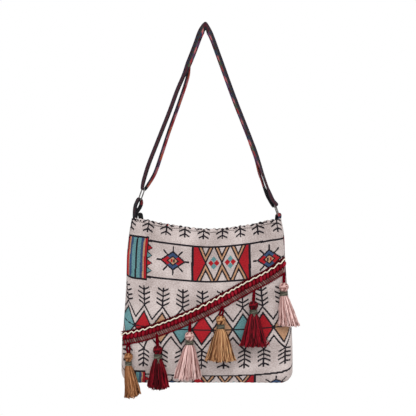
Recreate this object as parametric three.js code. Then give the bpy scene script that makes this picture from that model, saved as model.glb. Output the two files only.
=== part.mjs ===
// A woven shoulder bag with a slanting tasselled braid, hanging by its strap.
// Sizes are in millimetres, with +Z up. The front of the bag faces -Y and its width runs along X.
// The origin is under the top of the strap, where the bag hangs.

import * as THREE from 'three';

// Clear space kept between pieces that touch on the real bag
const GAP = 0.3;
const SKIN_GAP = 0.8; // under a strip that follows the curved cloth

// Bag body: two panels of backed cloth, sewn at the sides and the bottom
const LIP_CORNER = 381; // from the hanging point down to the corners of the mouth
const LIP_SAG = 17.5; // how much lower the mouth hangs between its corners
const LIP_ROUND = 0.16; // rounding of the sag at its lowest place, as a share of half the mouth
const LIP_SHIFT = 0.1; // how far the right half hangs lower than the left, as a share of half the mouth
const BASE = 700; // from the hanging point down to the bottom seam
const CORNER_RADIUS = 24; // rounding of the bottom corners
const BELLY = 32; // half depth of the body where it is fullest
const BELLY_AT = 0.36; // height of that place, as a share of the panel
const MOUTH = 20; // half depth at the mouth, which the webbing tabs hold open
const WALL = 2; // thickness of the cloth with its backing
const SEAM_INSET = 2.5; // width of the sewn edge
const PANEL_COLUMNS = 22;
const PANEL_ROWS = 18;

// Side edges of the body, at distances below the hanging point
const SIDES = [
  { below: 381, left: -143.6, right: 147.4 },
  { below: 412, left: -149, right: 153.2 },
  { below: 450, left: -153, right: 154.8 },
  { below: 510, left: -154.4, right: 159.2 },
  { below: 570, left: -158.2, right: 166 },
  { below: 625, left: -162.5, right: 169.4 },
  { below: 700, left: -164, right: 169.8 },
];

// How blunt the body is at its side edges, from the lower body to the mouth
const SIDE_SHAPE = { power: 2.4, root: 0.7 };
const MOUTH_SHAPE = { power: 7, root: 1 / 7 };
const BLUNT_FROM = 0.75; // height where the mouth's shape begins, as a share of the panel

// Soft dents (positive) and swells (negative) along lines on the cloth
const FRONT_FOLDS = [
  { x0: -134, z0: -394, x1: -62, z1: -468, width: 17, depth: 2.4 },
  { x0: 137, z0: -394, x1: 72, z1: -462, width: 16, depth: 2.2 },
  { x0: -46, z0: -416, x1: 40, z1: -414, width: 13, depth: 3 },
  { x0: -139, z0: -505, x1: -144, z1: -655, width: 13, depth: 1.8 },
  { x0: 148, z0: -535, x1: 146, z1: -668, width: 13, depth: 2 },
  { x0: -62, z0: -664, x1: 72, z1: -668, width: 24, depth: -2.2 },
];
const BACK_FOLDS = [
  { x0: -130, z0: -396, x1: -40, z1: -480, width: 18, depth: 2.4 },
  { x0: 132, z0: -396, x1: 55, z1: -486, width: 18, depth: 2.6 },
  { x0: -35, z0: -417, x1: 48, z1: -416, width: 14, depth: 2.6 },
  { x0: 143, z0: -520, x1: 147, z1: -660, width: 13, depth: 1.8 },
  { x0: -70, z0: -662, x1: 60, z1: -668, width: 24, depth: -2 },
];

// Zip: two tapes inside the lips and the tab at their left end
const TAPE = { height: 11, below: 2, thick: 1, reach: 0.9, stations: 20 };
const ZIP_TAB = { x: -123.6, lean: -1.5, top: -368.5, bottom: -392, wide: 9.6, thick: 3.6, bevel: 0.8 };

// Braid across the front: its middle line, and the strips across its width
const TRIM_LINE = [
  { x: -158.5, z: -613.4 },
  { x: -116.2, z: -603.1 },
  { x: -66.7, z: -585.7 },
  { x: -26, z: -568.8 },
  { x: 18.6, z: -546.7 },
  { x: 79.7, z: -513.1 },
  { x: 123, z: -490.8 },
  { x: 151.5, z: -471.6 },
];
const TRIM_STATIONS = 44;
const CHENILLE = { upper: 14, lower: -1, thick: 2.6 };
const HEADING = { upper: -1.6, lower: -14, thick: 1.8 };
const CORD = { across: 8.2, radius: 1.5, sides: 6 };

// Tassels from left to right: the loop's top, the knotted head, and the hem of the skirt
const TASSELS = [
  { loopX: -148.8, loopTop: -622, headX: -151.5, headZ: -649.3, hemX: -142, hemZ: -727, hemHalf: 15.7 },
  { loopX: -93.7, loopTop: -604, headX: -92.3, headZ: -634.4, hemX: -91.3, hemZ: -712, hemHalf: 21.4 },
  { loopX: -29.1, loopTop: -580, headX: -30.8, headZ: -607.2, hemX: -34.4, hemZ: -691.6, hemHalf: 26 },
  { loopX: 33, loopTop: -551, headX: 29.5, headZ: -576.4, hemX: 29.2, hemZ: -656, hemHalf: 28 },
  { loopX: 93.9, loopTop: -521, headX: 92.9, headZ: -547.9, hemX: 93.1, hemZ: -628, hemHalf: 24.5 },
  { loopX: 151.5, loopTop: -487, headX: 152.3, headZ: -513.1, hemX: 161.9, hemZ: -589.5, hemHalf: 19.7 },
];
const TASSEL_COLOURS = [0x9a6a3a, 0x73081c, 0xdcafaa, 0xb9874b, 0x73081c, 0xdcafaa];
const HEAD = { radius: 7.8, tall: 7.4, crown: 2.8 };
const NECK = { radius: 5.2, above: 8.6, below: 17.4 }; // straight stretch under the head's middle
const SKIRT_DEPTH = 0.62; // depth of the hem against its width
const LOCKS = 10;
const LOCK_RAGGED = 3; // how much the locks differ in length
const HEM_HOLLOW = 8; // how far the hem is hollow underneath

// Rings round the tassel from the crown down: place, size and depth of the grooves between locks
const HEAD_RINGS = [
  { up: 1, size: 0.36 },
  { up: 0.72, size: 0.78 },
  { up: 0, size: 1 },
  { up: -0.7, size: 0.84 },
];
const SKIRT_RINGS = [
  { down: 0.12, spread: 0.2, groove: 0.08 },
  { down: 0.4, spread: 0.55, groove: 0.14 },
  { down: 0.72, spread: 0.82, groove: 0.17 },
  { down: 1, spread: 1, groove: 0.2 },
];
const TIE = { inner: 5.75, outer: 6.8, top: 9.2, bottom: 16.6, sides: 14 };
const LOOP = { radius: 0.9, spread: 2.1, sides: 5, stations: 12 };

// Webbing of the strap and of the tabs
const WEBBING = { wide: 24, thick: 1.6 };
const STRAP_SLOPE = THREE.MathUtils.degToRad(68); // how far each leg's outer face turns from straight up
const APEX_REACH = 8; // half width over which the strap turns at its top
const LEAN_TOP = THREE.MathUtils.degToRad(23); // turn of the webbing to the front, high on the legs
const LEAN_RING = THREE.MathUtils.degToRad(10); // the same turn at the rings
const LEAN_SPAN = { low: -335, high: -130 };
const LEAN_SEAM = { none: -384, full: -372 }; // the tabs lie square where they are sewn in

// Rings of round wire: distances between the middles of opposite bars
const RING = { wide: 28.4, tall: 20.5, wire: 2.6, corner: 3, sides: 6, cornerSteps: 3 };
const LEFT_RING = { topX: -120.1, topZ: -324, footX: -129.4, footZ: -342.3 };
const RIGHT_RING = { topX: 134.6, topZ: -351.3, footX: 143.2, footZ: -369.9 };
const BAR_RADIUS = RING.wire / 2 + 2 * GAP + WEBBING.thick / 2; // middle of webbing round a bar

// Middle line of the strap, between its turns round the two rings
const DOUBLED_LEG = [
  { x: -29.9, z: -79.7 },
  { x: -44.6, z: -126.5 },
  { x: -56.6, z: -162.8 },
  { x: -73.8, z: -214.4 },
  { x: -86.8, z: -256.3 },
  { x: -99.4, z: -292.7 },
  { x: -111, z: -314 },
];
const MAIN_RUN = [
  { x: -121.4, z: -311 },
  { x: -112.3, z: -279.7 },
  { x: -95.3, z: -235.7 },
  { x: -68.5, z: -167.8 },
  { x: -53, z: -129 },
  { x: -35.3, z: -87.5 },
  { x: -18.6, z: -43 },
  { x: -7.4, z: -12 },
  { x: 0, z: WEBBING.thick / 2 },
  { x: 6.6, z: -12 },
  { x: 24.8, z: -61.1 },
  { x: 56.5, z: -148.4 },
  { x: 85.4, z: -222.1 },
  { x: 100.7, z: -262.9 },
  { x: 117, z: -311 },
  { x: 131.5, z: -342 },
];
const FOLDED_END = [
  { x: 127, z: -341.5 },
  { x: 112.6, z: -311 },
  { x: 97.8, z: -265 },
  { x: 86.4, z: -231 },
];
const STRAP_TURN_LEFT = { from: -37, to: -180, steps: 5 };
const STRAP_TURN_RIGHT = { from: 24, to: -156, steps: 6 };

// Middle lines of the two tabs, on each side of their turn over the ring's lower bar
const LEFT_TAB_UP = [
  { x: -135.9, z: -392 },
  { x: -135.9, z: -380 },
  { x: -138.2, z: -364 },
  { x: -135.2, z: -349 },
];
const LEFT_TAB_DOWN = [
  { x: -126.4, z: -351 },
  { x: -128, z: -361 },
  { x: -133.6, z: -371 },
  { x: -133.8, z: -380 },
  { x: -133.8, z: -392 },
];
const LEFT_TAB_TURN = { from: 150, to: 0, steps: 5 };
const RIGHT_TAB_UP = [
  { x: 137.6, z: -395 },
  { x: 137.6, z: -384 },
  { x: 140, z: -376.5 },
];
const RIGHT_TAB_DOWN = [
  { x: 144.4, z: -376.5 },
  { x: 139.7, z: -384 },
  { x: 139.7, z: -395 },
];
const RIGHT_TAB_TURN = { from: 190, to: 0, steps: 6 };

const lerp = THREE.MathUtils.lerp;
const smoothstep = THREE.MathUtils.smoothstep;

// Value of one column of a table, on a smooth curve through its rows
function column(rows, key, at, name) {
  const last = rows.length - 1;
  let i = 0;
  while (i < last - 1 && at > rows[i + 1][key]) i += 1;
  const slope = (k) => {
    const a = rows[Math.max(k - 1, 0)];
    const b = rows[Math.min(k + 1, last)];
    return (b[name] - a[name]) / (b[key] - a[key]);
  };
  const step = rows[i + 1][key] - rows[i][key];
  const t = THREE.MathUtils.clamp((at - rows[i][key]) / step, 0, 1);
  const bend = (t - 1) * slope(i) * step * t * (t - 1) + t * t * (t - 1) * slope(i + 1) * step;
  return lerp(rows[i][name], rows[i + 1][name], t * t * (3 - 2 * t)) + bend;
}

// A BufferGeometry from points and triangles, turned so that its faces point out
function solid(points, triangles) {
  let volume = 0;
  for (const [a, b, c] of triangles) {
    volume += points[a].dot(points[b].clone().cross(points[c]));
  }
  const faces = volume < 0 ? triangles.map(([a, b, c]) => [a, c, b]) : triangles;
  const geometry = new THREE.BufferGeometry().setFromPoints(points);
  geometry.setIndex(faces.flat());
  geometry.computeVertexNormals();
  return geometry;
}

// Solid through rings of points, either closed on itself or capped at both ends
function sweep(rings, closed = false, capPoints = null) {
  const sides = rings[0].length;
  const points = rings.flat();
  const triangles = [];
  const spans = closed ? rings.length : rings.length - 1;
  for (let i = 0; i < spans; i += 1) {
    const here = i * sides;
    const next = ((i + 1) % rings.length) * sides;
    for (let j = 0; j < sides; j += 1) {
      const k = (j + 1) % sides;
      triangles.push([here + j, here + k, next + k], [here + j, next + k, next + j]);
    }
  }
  if (!closed) {
    const middle = (ring) => ring.reduce((sum, p) => sum.add(p), new THREE.Vector3()).divideScalar(sides);
    const caps = capPoints ?? [middle(rings[0]), middle(rings[rings.length - 1])];
    const last = (rings.length - 1) * sides;
    for (let j = 0; j < sides; j += 1) {
      const k = (j + 1) % sides;
      triangles.push([points.length, k, j], [points.length + 1, last + j, last + k]);
    }
    points.push(...caps);
  }
  return solid(points, triangles);
}

// Solid between an outer and an inner sheet of points, joined all round their border
function shell(outer, inner) {
  const rows = outer.length - 1;
  const columns = outer[0].length - 1;
  const sheet = (rows + 1) * (columns + 1);
  const at = (r, c) => r * (columns + 1) + c;
  const triangles = [];
  for (let r = 0; r < rows; r += 1) {
    for (let c = 0; c < columns; c += 1) {
      const [p, q, s, t] = [at(r, c), at(r, c + 1), at(r + 1, c + 1), at(r + 1, c)];
      triangles.push([p, q, s], [p, s, t]);
      triangles.push([p + sheet, s + sheet, q + sheet], [p + sheet, t + sheet, s + sheet]);
    }
  }
  const border = [];
  for (let c = 0; c < columns; c += 1) border.push(at(0, c));
  for (let r = 0; r < rows; r += 1) border.push(at(r, columns));
  for (let c = columns; c > 0; c -= 1) border.push(at(rows, c));
  for (let r = rows; r > 0; r -= 1) border.push(at(r, 0));
  border.forEach((a, i) => {
    const b = border[(i + 1) % border.length];
    triangles.push([b, a, a + sheet], [b, a + sheet, b + sheet]);
  });
  return solid([...outer.flat(), ...inner.flat()], triangles);
}

// Body: u runs from -1 at the left side to 1 at the right, v from 0 at the bottom seam to 1 at the lip
function sideEdges(z) {
  const left = column(SIDES, 'below', -z, 'left');
  const right = column(SIDES, 'below', -z, 'right');
  return { middle: (left + right) / 2, half: (right - left) / 2 };
}

function lipHeight(u) {
  const across = u - LIP_SHIFT * (1 + u) / 2;
  const end = Math.hypot(1, LIP_ROUND);
  const straight = (end - Math.hypot(across, LIP_ROUND)) / (end - LIP_ROUND);
  const curved = (1 + Math.cos(Math.PI * across)) / 2;
  return -LIP_CORNER - LIP_SAG * (straight + curved) / 2;
}

function baseHeight(u) {
  const { half } = sideEdges(-BASE);
  const into = Math.max(0, (Math.abs(u) * half - half + CORNER_RADIUS) / CORNER_RADIUS);
  return -BASE + CORNER_RADIUS * (1 - Math.sqrt(Math.max(0, 1 - into * into)));
}

function fullness(v) {
  if (v < BELLY_AT) return BELLY * (1 - (1 - v / BELLY_AT) ** 2) ** 0.6;
  const above = (v - BELLY_AT) / (1 - BELLY_AT);
  return MOUTH + (BELLY - MOUTH) * (1 + Math.cos(Math.PI * above)) / 2;
}

function sideShare(u, v) {
  const blunt = smoothstep(v, BLUNT_FROM, 1);
  const power = lerp(SIDE_SHAPE.power, MOUTH_SHAPE.power, blunt);
  const root = lerp(SIDE_SHAPE.root, MOUTH_SHAPE.root, blunt);
  return (1 - Math.min(1, Math.abs(u)) ** power) ** root;
}

function dent(folds, x, z) {
  let sum = 0;
  for (const { x0, z0, x1, z1, width, depth } of folds) {
    const along = ((x - x0) * (x1 - x0) + (z - z0) * (z1 - z0)) / ((x1 - x0) ** 2 + (z1 - z0) ** 2);
    const t = THREE.MathUtils.clamp(along, 0, 1);
    const away = Math.hypot(x - lerp(x0, x1, t), z - lerp(z0, z1, t));
    sum += depth * Math.exp(-((away / width) ** 2));
  }
  return sum;
}

// Half depth of a panel at u and v, with the wall's thickness taken off for its inner face
function panelDepth(folds, u, v, x, z, wall) {
  const full = Math.max(0, fullness(v) - wall);
  const share = sideShare(u, v);
  return full * share - dent(folds, x, z) * share * Math.min(1, full / MOUTH);
}

function panelPoint(facing, folds, u, v, inset, wall) {
  const base = baseHeight(u) + inset;
  const z = lerp(base, lipHeight(u), v);
  const { middle, half } = sideEdges(z);
  const x = middle + u * (half - inset);
  return new THREE.Vector3(x, facing * (GAP / 2 + panelDepth(folds, u, v, x, z, wall)), z);
}

function panel(facing, folds) {
  const sheet = (inset, wall) => {
    const grid = [];
    for (let r = 0; r <= PANEL_ROWS; r += 1) {
      const v = 1 - Math.cos((Math.PI / 2) * (r / PANEL_ROWS));
      const row = [];
      for (let c = 0; c <= PANEL_COLUMNS; c += 1) {
        const u = Math.sin((Math.PI / 2) * ((2 * c) / PANEL_COLUMNS - 1));
        row.push(panelPoint(facing, folds, u, v, inset, wall));
      }
      grid.push(row);
    }
    return grid;
  };
  return shell(sheet(0, 0), sheet(SEAM_INSET, WALL));
}

// Depth of the front panel's outer face at a place seen from the front, or 0 beside the body
function frontDepth(x, z) {
  const { middle, half } = sideEdges(z);
  const u = (x - middle) / half;
  if (Math.abs(u) >= 1) return 0;
  const v = (z - baseHeight(u)) / (lipHeight(u) - baseHeight(u));
  if (v <= 0 || v > 1) return 0;
  return GAP / 2 + panelDepth(FRONT_FOLDS, u, v, x, z, 0);
}

// Point at a height over the front panel's outer face, along that face's own normal
function overFront(x, z, height) {
  const STEP = 1;
  const slopeX = (frontDepth(x + STEP, z) - frontDepth(x - STEP, z)) / (2 * STEP);
  const slopeZ = (frontDepth(x, z + STEP) - frontDepth(x, z - STEP)) / (2 * STEP);
  const normal = new THREE.Vector3(-slopeX, -1, -slopeZ).normalize();
  return new THREE.Vector3(x, -frontDepth(x, z), z).addScaledVector(normal, height);
}

// Zip
function zipTape(facing, folds) {
  const rings = [];
  for (let i = 0; i <= TAPE.stations; i += 1) {
    const u = lerp(-TAPE.reach, TAPE.reach, i / TAPE.stations);
    const top = lipHeight(u) - TAPE.below;
    const place = (z, off) => {
      const v = (z - baseHeight(u)) / (lipHeight(u) - baseHeight(u));
      const wall = panelPoint(facing, folds, u, v, SEAM_INSET, WALL);
      return new THREE.Vector3(wall.x, wall.y - facing * (SKIN_GAP + off), z);
    };
    const low = top - TAPE.height;
    rings.push([place(top, 0), place(top, TAPE.thick), place(low, TAPE.thick), place(low, 0)]);
  }
  return sweep(rings);
}

function zipTab() {
  const { wide, thick, bevel } = ZIP_TAB;
  const tall = ZIP_TAB.top - ZIP_TAB.bottom;
  const half = wide / 2 - bevel;
  const outline = new THREE.Shape();
  outline.moveTo(-half, bevel);
  outline.lineTo(half, bevel);
  outline.lineTo(half, tall - wide / 2);
  outline.absarc(0, tall - wide / 2, half, 0, Math.PI);
  outline.lineTo(-half, bevel);
  const geometry = new THREE.ExtrudeGeometry(outline, {
    depth: thick - 2 * bevel,
    bevelSize: bevel,
    bevelThickness: bevel,
    bevelSegments: 1,
    curveSegments: 8,
  });
  geometry.rotateX(Math.PI / 2);
  geometry.translate(0, thick - bevel, 0);
  return geometry;
}

// Where the tab's front face lies, clear of the tape that it is sewn to
function zipTabSeat() {
  let nearest = -Infinity;
  for (const x of [ZIP_TAB.x - ZIP_TAB.wide / 2, ZIP_TAB.x, ZIP_TAB.x + ZIP_TAB.wide / 2]) {
    const { middle, half } = sideEdges(ZIP_TAB.bottom);
    const u = (x - middle) / (half - SEAM_INSET);
    for (const z of [ZIP_TAB.bottom, lipHeight(u)]) {
      const v = (z - baseHeight(u)) / (lipHeight(u) - baseHeight(u));
      nearest = Math.max(nearest, panelPoint(-1, FRONT_FOLDS, u, v, SEAM_INSET, WALL).y);
    }
  }
  return nearest + SKIN_GAP + TAPE.thick + GAP;
}

// Braid
const trimCurve = new THREE.CatmullRomCurve3(TRIM_LINE.map(({ x, z }) => new THREE.Vector3(x, 0, z)));

// Place on the braid: a share of its length, and a distance across it, upwards from its middle line
function onTrim(share, across) {
  const point = trimCurve.getPointAt(share);
  const along = trimCurve.getTangentAt(share);
  return { x: point.x - along.z * across, z: point.z + along.x * across };
}

function trimStrip({ upper, lower, thick }) {
  const rings = [];
  for (let i = 0; i <= TRIM_STATIONS; i += 1) {
    const lines = [upper, (upper + lower) / 2, lower].map((across) => onTrim(i / TRIM_STATIONS, across));
    const back = lines.map(({ x, z }) => overFront(x, z, SKIN_GAP));
    const front = lines.map(({ x, z }) => overFront(x, z, SKIN_GAP + thick));
    rings.push([...back, ...front.reverse()]);
  }
  return sweep(rings);
}

function trimCord() {
  const rings = [];
  const over = SKIN_GAP + CHENILLE.thick + SKIN_GAP + CORD.radius;
  for (let i = 0; i <= TRIM_STATIONS; i += 1) {
    const ring = [];
    for (let j = 0; j < CORD.sides; j += 1) {
      const angle = (2 * Math.PI * j) / CORD.sides;
      const { x, z } = onTrim(i / TRIM_STATIONS, CORD.across + CORD.radius * Math.sin(angle));
      ring.push(overFront(x, z, over + CORD.radius * Math.cos(angle)));
    }
    rings.push(ring);
  }
  return sweep(rings);
}

// Tassels: rings from the crown to the hem, each with its place, half width, half depth and grooves
function tasselRings({ headX, headZ, hemX, hemZ, hemHalf }) {
  const neckTop = headZ - NECK.above;
  const neckFoot = headZ - NECK.below;
  const leanAt = (z) => lerp(headX, hemX, Math.max(0, (neckFoot - z) / (neckFoot - hemZ)));
  const rings = HEAD_RINGS.map(({ up, size }) => ({ z: headZ + up * HEAD.tall, half: size * HEAD.radius }));
  rings.push({ z: neckTop, half: NECK.radius }, { z: neckFoot, half: NECK.radius });
  for (const { down, spread, groove } of SKIRT_RINGS) {
    const half = lerp(NECK.radius, hemHalf, spread);
    const depth = half * lerp(1, SKIRT_DEPTH, spread);
    rings.push({ z: lerp(neckFoot, hemZ, down), half, depth, groove, hem: down === 1 });
  }
  return rings.map(({ z, half, depth = half, groove = 0, hem = false }) => {
    return { x: leanAt(z), z, half, depth, groove, hem };
  });
}

// The tassel leans on the panel: its axis starts beside the head and clears the cloth all the way down
function tasselAxis(rings) {
  const needed = ({ x, z, half, depth }) => {
    let most = 0;
    for (const side of [-0.9, -0.6, -0.3, 0, 0.3, 0.6, 0.9]) {
      most = Math.max(most, frontDepth(x + side * half, z) + depth * Math.sqrt(1 - side * side));
    }
    return most + SKIN_GAP;
  };
  const head = rings.find(({ half }) => half === HEAD.radius);
  const start = needed(head);
  let slope = -Infinity;
  for (const ring of rings.filter(({ z }) => z < head.z)) {
    slope = Math.max(slope, (needed(ring) - start) / (head.z - ring.z));
  }
  return (z) => -start - slope * Math.max(0, head.z - z);
}

function tassel(rings, axis) {
  const sectors = 2 * LOCKS;
  const sections = rings.map((ring) => {
    const section = [];
    for (let j = 0; j < sectors; j += 1) {
      const angle = (2 * Math.PI * j) / sectors;
      const size = j % 2 ? 1 - ring.groove : 1;
      const ragged = ring.hem ? LOCK_RAGGED * Math.sin(2.4 * j) : 0;
      const x = ring.x + size * ring.half * Math.cos(angle);
      const y = axis(ring.z) + size * ring.depth * Math.sin(angle);
      section.push(new THREE.Vector3(x, y, ring.z + ragged));
    }
    return section;
  });
  const crown = rings[0];
  const hem = rings[rings.length - 1];
  const top = new THREE.Vector3(crown.x, axis(crown.z), crown.z + HEAD.crown / 4);
  const under = new THREE.Vector3(hem.x, axis(hem.z), hem.z + HEM_HOLLOW);
  return sweep(sections, false, [top, under]);
}

function tasselTie({ headX, headZ }, axis) {
  const { inner, outer, top, bottom, sides } = TIE;
  const rings = [];
  for (let i = 0; i < sides; i += 1) {
    const angle = (2 * Math.PI * i) / sides;
    const place = (radius, below) => {
      const z = headZ - below;
      return new THREE.Vector3(headX + radius * Math.cos(angle), axis(z) + radius * Math.sin(angle), z);
    };
    const bulge = (top + bottom) / 2;
    rings.push([place(inner, top), place(inner, bottom), place(outer - 0.4, bottom)]);
    rings[i].push(place(outer, bulge), place(outer - 0.4, top));
  }
  return sweep(rings, true);
}

function tasselLoop({ loopX, loopTop, headX, headZ }, axis) {
  const crown = headZ + HEAD.tall + HEAD.crown / 4 + GAP;
  const onBraid = overFront(loopX, loopTop, SKIN_GAP + HEADING.thick + GAP + LOOP.radius);
  const headY = axis(headZ);
  const foot = new THREE.Vector3(headX, headY, crown);
  const half = foot.clone().lerp(onBraid, 0.5);
  const leg = (side) => [
    foot.clone().setX(headX + side * HEAD.crown / 2),
    half.clone().setX(half.x + side * LOOP.spread),
  ];
  const curve = new THREE.CatmullRomCurve3([...leg(-1), onBraid, ...leg(1).reverse()]);
  return tube(curve.getPoints(LOOP.stations), LOOP.radius, LOOP.sides, false);
}

// Round tube along points, with its sections square to the way it runs
function tube(points, radius, sides, closed) {
  const count = points.length;
  const rings = points.map((point, i) => {
    const before = points[closed ? (i + count - 1) % count : Math.max(i - 1, 0)];
    const after = points[closed ? (i + 1) % count : Math.min(i + 1, count - 1)];
    const along = after.clone().sub(before).normalize();
    const across = new THREE.Vector3(0, 1, 0).cross(along);
    if (across.length() < 0.2) across.set(1, 0, 0).cross(along);
    across.normalize();
    const up = along.clone().cross(across);
    const ring = [];
    for (let j = 0; j < sides; j += 1) {
      const angle = (2 * Math.PI * j) / sides;
      const at = point.clone().addScaledVector(across, radius * Math.cos(angle));
      ring.push(at.addScaledVector(up, radius * Math.sin(angle)));
    }
    return ring;
  });
  return sweep(rings, closed);
}

// Webbing: the way its width runs at a place, mostly along Y but turned a little to the front
function widthAt({ x, z }) {
  const turn = STRAP_SLOPE * Math.tanh(x / APEX_REACH);
  const lean = lerp(LEAN_RING, LEAN_TOP, smoothstep(z, LEAN_SPAN.low, LEAN_SPAN.high));
  const turned = lean * smoothstep(z, LEAN_SEAM.none, LEAN_SEAM.full);
  const outward = new THREE.Vector3(Math.sin(turn), 0, Math.cos(turn));
  return new THREE.Vector3(0, Math.cos(turned), 0).addScaledVector(outward, Math.sin(turned));
}

function webbing(points) {
  const curve = new THREE.CatmullRomCurve3(points.map(({ x, z }) => new THREE.Vector3(x, 0, z)));
  const stations = curve.getPoints(2 * (points.length - 1));
  const rings = stations.map((point, i) => {
    const before = stations[Math.max(i - 1, 0)];
    const after = stations[Math.min(i + 1, stations.length - 1)];
    const along = after.clone().sub(before).normalize();
    const face = new THREE.Vector3(-along.z, 0, along.x).multiplyScalar(WEBBING.thick / 2);
    const half = widthAt(point).multiplyScalar(WEBBING.wide / 2);
    return [
      point.clone().sub(half).sub(face),
      point.clone().add(half).sub(face),
      point.clone().add(half).add(face),
      point.clone().sub(half).add(face),
    ];
  });
  return sweep(rings);
}

function turnRound(x, z, { from, to, steps }) {
  const points = [];
  for (let i = 0; i <= steps; i += 1) {
    const angle = THREE.MathUtils.degToRad(lerp(from, to, i / steps));
    points.push({ x: x + BAR_RADIUS * Math.cos(angle), z: z + BAR_RADIUS * Math.sin(angle) });
  }
  return points;
}

function strap() {
  const left = turnRound(LEFT_RING.topX, LEFT_RING.topZ, STRAP_TURN_LEFT);
  const right = turnRound(RIGHT_RING.topX, RIGHT_RING.topZ, STRAP_TURN_RIGHT);
  return webbing([...DOUBLED_LEG, ...left, ...MAIN_RUN, ...right, ...FOLDED_END]);
}

function tab(up, ring, turn, down) {
  return webbing([...up, ...turnRound(ring.footX, ring.footZ, turn), ...down]);
}

function wireRing({ topX, topZ, footX, footZ }) {
  const down = new THREE.Vector3(footX - topX, 0, footZ - topZ).normalize();
  const across = widthAt({ x: topX, z: topZ });
  const middle = new THREE.Vector3((topX + footX) / 2, 0, (topZ + footZ) / 2);
  const corners = [[1, 1], [-1, 1], [-1, -1], [1, -1]];
  const points = [];
  corners.forEach(([sideways, downward], quarter) => {
    for (let i = 0; i <= RING.cornerSteps; i += 1) {
      const angle = (Math.PI / 2) * (quarter + i / RING.cornerSteps);
      const wide = sideways * (RING.wide / 2 - RING.corner) + RING.corner * Math.cos(angle);
      const tall = downward * (RING.tall / 2 - RING.corner) + RING.corner * Math.sin(angle);
      points.push(middle.clone().addScaledVector(across, wide).addScaledVector(down, tall));
    }
  });
  const square = across.clone().cross(down).normalize();
  const count = points.length;
  const rings = points.map((point, i) => {
    const along = points[(i + 1) % count].clone().sub(points[(i + count - 1) % count]).normalize();
    const outward = along.cross(square);
    const ring = [];
    for (let j = 0; j < RING.sides; j += 1) {
      const angle = (2 * Math.PI * j) / RING.sides;
      const at = point.clone().addScaledVector(outward, (RING.wire / 2) * Math.cos(angle));
      ring.push(at.addScaledVector(square, (RING.wire / 2) * Math.sin(angle)));
    }
    return ring;
  });
  return sweep(rings, true);
}

// The bag
const bag = new THREE.Group();

function add(name, geometry, color, roughness = 0.9, metalness = 0) {
  const mesh = new THREE.Mesh(geometry, new THREE.MeshStandardMaterial({ color, roughness, metalness }));
  mesh.name = name;
  bag.add(mesh);
  return mesh;
}

const COLOURS = {
  cloth: 0xc0b3ae,
  zip: 0x121212,
  chenille: 0x82101f,
  heading: 0x785f5a,
  cord: 0xebe1cd,
  tie: 0x6e7864,
  webbing: 0x2a1a20,
  ring: 0xb8b8bc,
};

add('front_panel', panel(-1, FRONT_FOLDS), COLOURS.cloth);
add('back_panel', panel(1, BACK_FOLDS), COLOURS.cloth);
add('zip_tape_front', zipTape(-1, FRONT_FOLDS), COLOURS.zip);
add('zip_tape_back', zipTape(1, BACK_FOLDS), COLOURS.zip);

const zipTabMesh = add('zip_end_tab', zipTab(), COLOURS.zip, 0.6);
zipTabMesh.position.set(ZIP_TAB.x, zipTabSeat(), ZIP_TAB.bottom);
zipTabMesh.rotation.y = THREE.MathUtils.degToRad(ZIP_TAB.lean);

add('trim_chenille', trimStrip(CHENILLE), COLOURS.chenille);
add('trim_heading', trimStrip(HEADING), COLOURS.heading);
add('trim_cord', trimCord(), COLOURS.cord);

TASSELS.forEach((row, i) => {
  const rings = tasselRings(row);
  const axis = tasselAxis(rings);
  const name = `tassel_${i + 1}`;
  add(name, tassel(rings, axis), TASSEL_COLOURS[i]);
  add(`${name}_tie`, tasselTie(row, axis), COLOURS.tie);
  add(`${name}_loop`, tasselLoop(row, axis), COLOURS.chenille);
});

add('strap', strap(), COLOURS.webbing);
add('ring_left', wireRing(LEFT_RING), COLOURS.ring, 0.3, 1);
add('ring_right', wireRing(RIGHT_RING), COLOURS.ring, 0.3, 1);
add('tab_left', tab(LEFT_TAB_UP, LEFT_RING, LEFT_TAB_TURN, LEFT_TAB_DOWN), COLOURS.webbing);
add('tab_right', tab(RIGHT_TAB_UP, RIGHT_RING, RIGHT_TAB_TURN, RIGHT_TAB_DOWN), COLOURS.webbing);

export default bag;
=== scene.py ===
"""Dresses a woven shoulder bag that hangs by its strap, with a slanting braid and six tassels.

The bag's sizes are in millimetres and become metres where a mesh is made. The studio's are in metres.
+Z is up, the front of the bag faces -Y, its width runs along X, and the origin is under the top of the
strap.
"""

from __future__ import annotations

import logging
import math
from collections.abc import Sequence
from dataclasses import dataclass, field
from enum import Enum, IntEnum
from typing import Protocol

import bpy
import numpy as np
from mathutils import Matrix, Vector

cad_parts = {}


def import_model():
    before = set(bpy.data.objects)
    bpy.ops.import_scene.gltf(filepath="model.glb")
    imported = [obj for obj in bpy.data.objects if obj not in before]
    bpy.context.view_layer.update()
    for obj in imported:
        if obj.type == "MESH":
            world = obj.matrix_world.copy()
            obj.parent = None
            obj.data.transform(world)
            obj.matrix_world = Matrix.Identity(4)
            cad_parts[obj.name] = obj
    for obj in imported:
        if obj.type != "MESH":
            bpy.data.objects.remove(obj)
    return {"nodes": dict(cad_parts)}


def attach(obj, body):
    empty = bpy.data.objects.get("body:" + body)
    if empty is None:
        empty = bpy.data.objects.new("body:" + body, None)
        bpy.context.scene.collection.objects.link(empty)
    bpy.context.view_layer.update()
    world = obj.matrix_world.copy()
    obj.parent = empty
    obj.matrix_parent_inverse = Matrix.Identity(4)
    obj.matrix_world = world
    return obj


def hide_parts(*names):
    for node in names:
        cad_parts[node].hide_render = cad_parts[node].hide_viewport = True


log = logging.getLogger("shoulder_bag")

METRES = 0.001
BODY = "root"
CLOTH_UV = "cloth"
# The per-point shade value picks a thread's colour: its own random tone and, on some parts, painted shade
SHADE = "shade"
STUDIO_LIGHT = 1.32  # light on the front of the bag, where the white surroundings alone would give 1

Array = np.ndarray
Amount = Array | float
Row = tuple[float, ...]
Place = tuple[float, float]
Route = tuple[Place, ...]
Point = tuple[float, float, float]
Colour = tuple[float, float, float]
Socket = bpy.types.NodeSocket
Piece = bpy.types.Object

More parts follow.
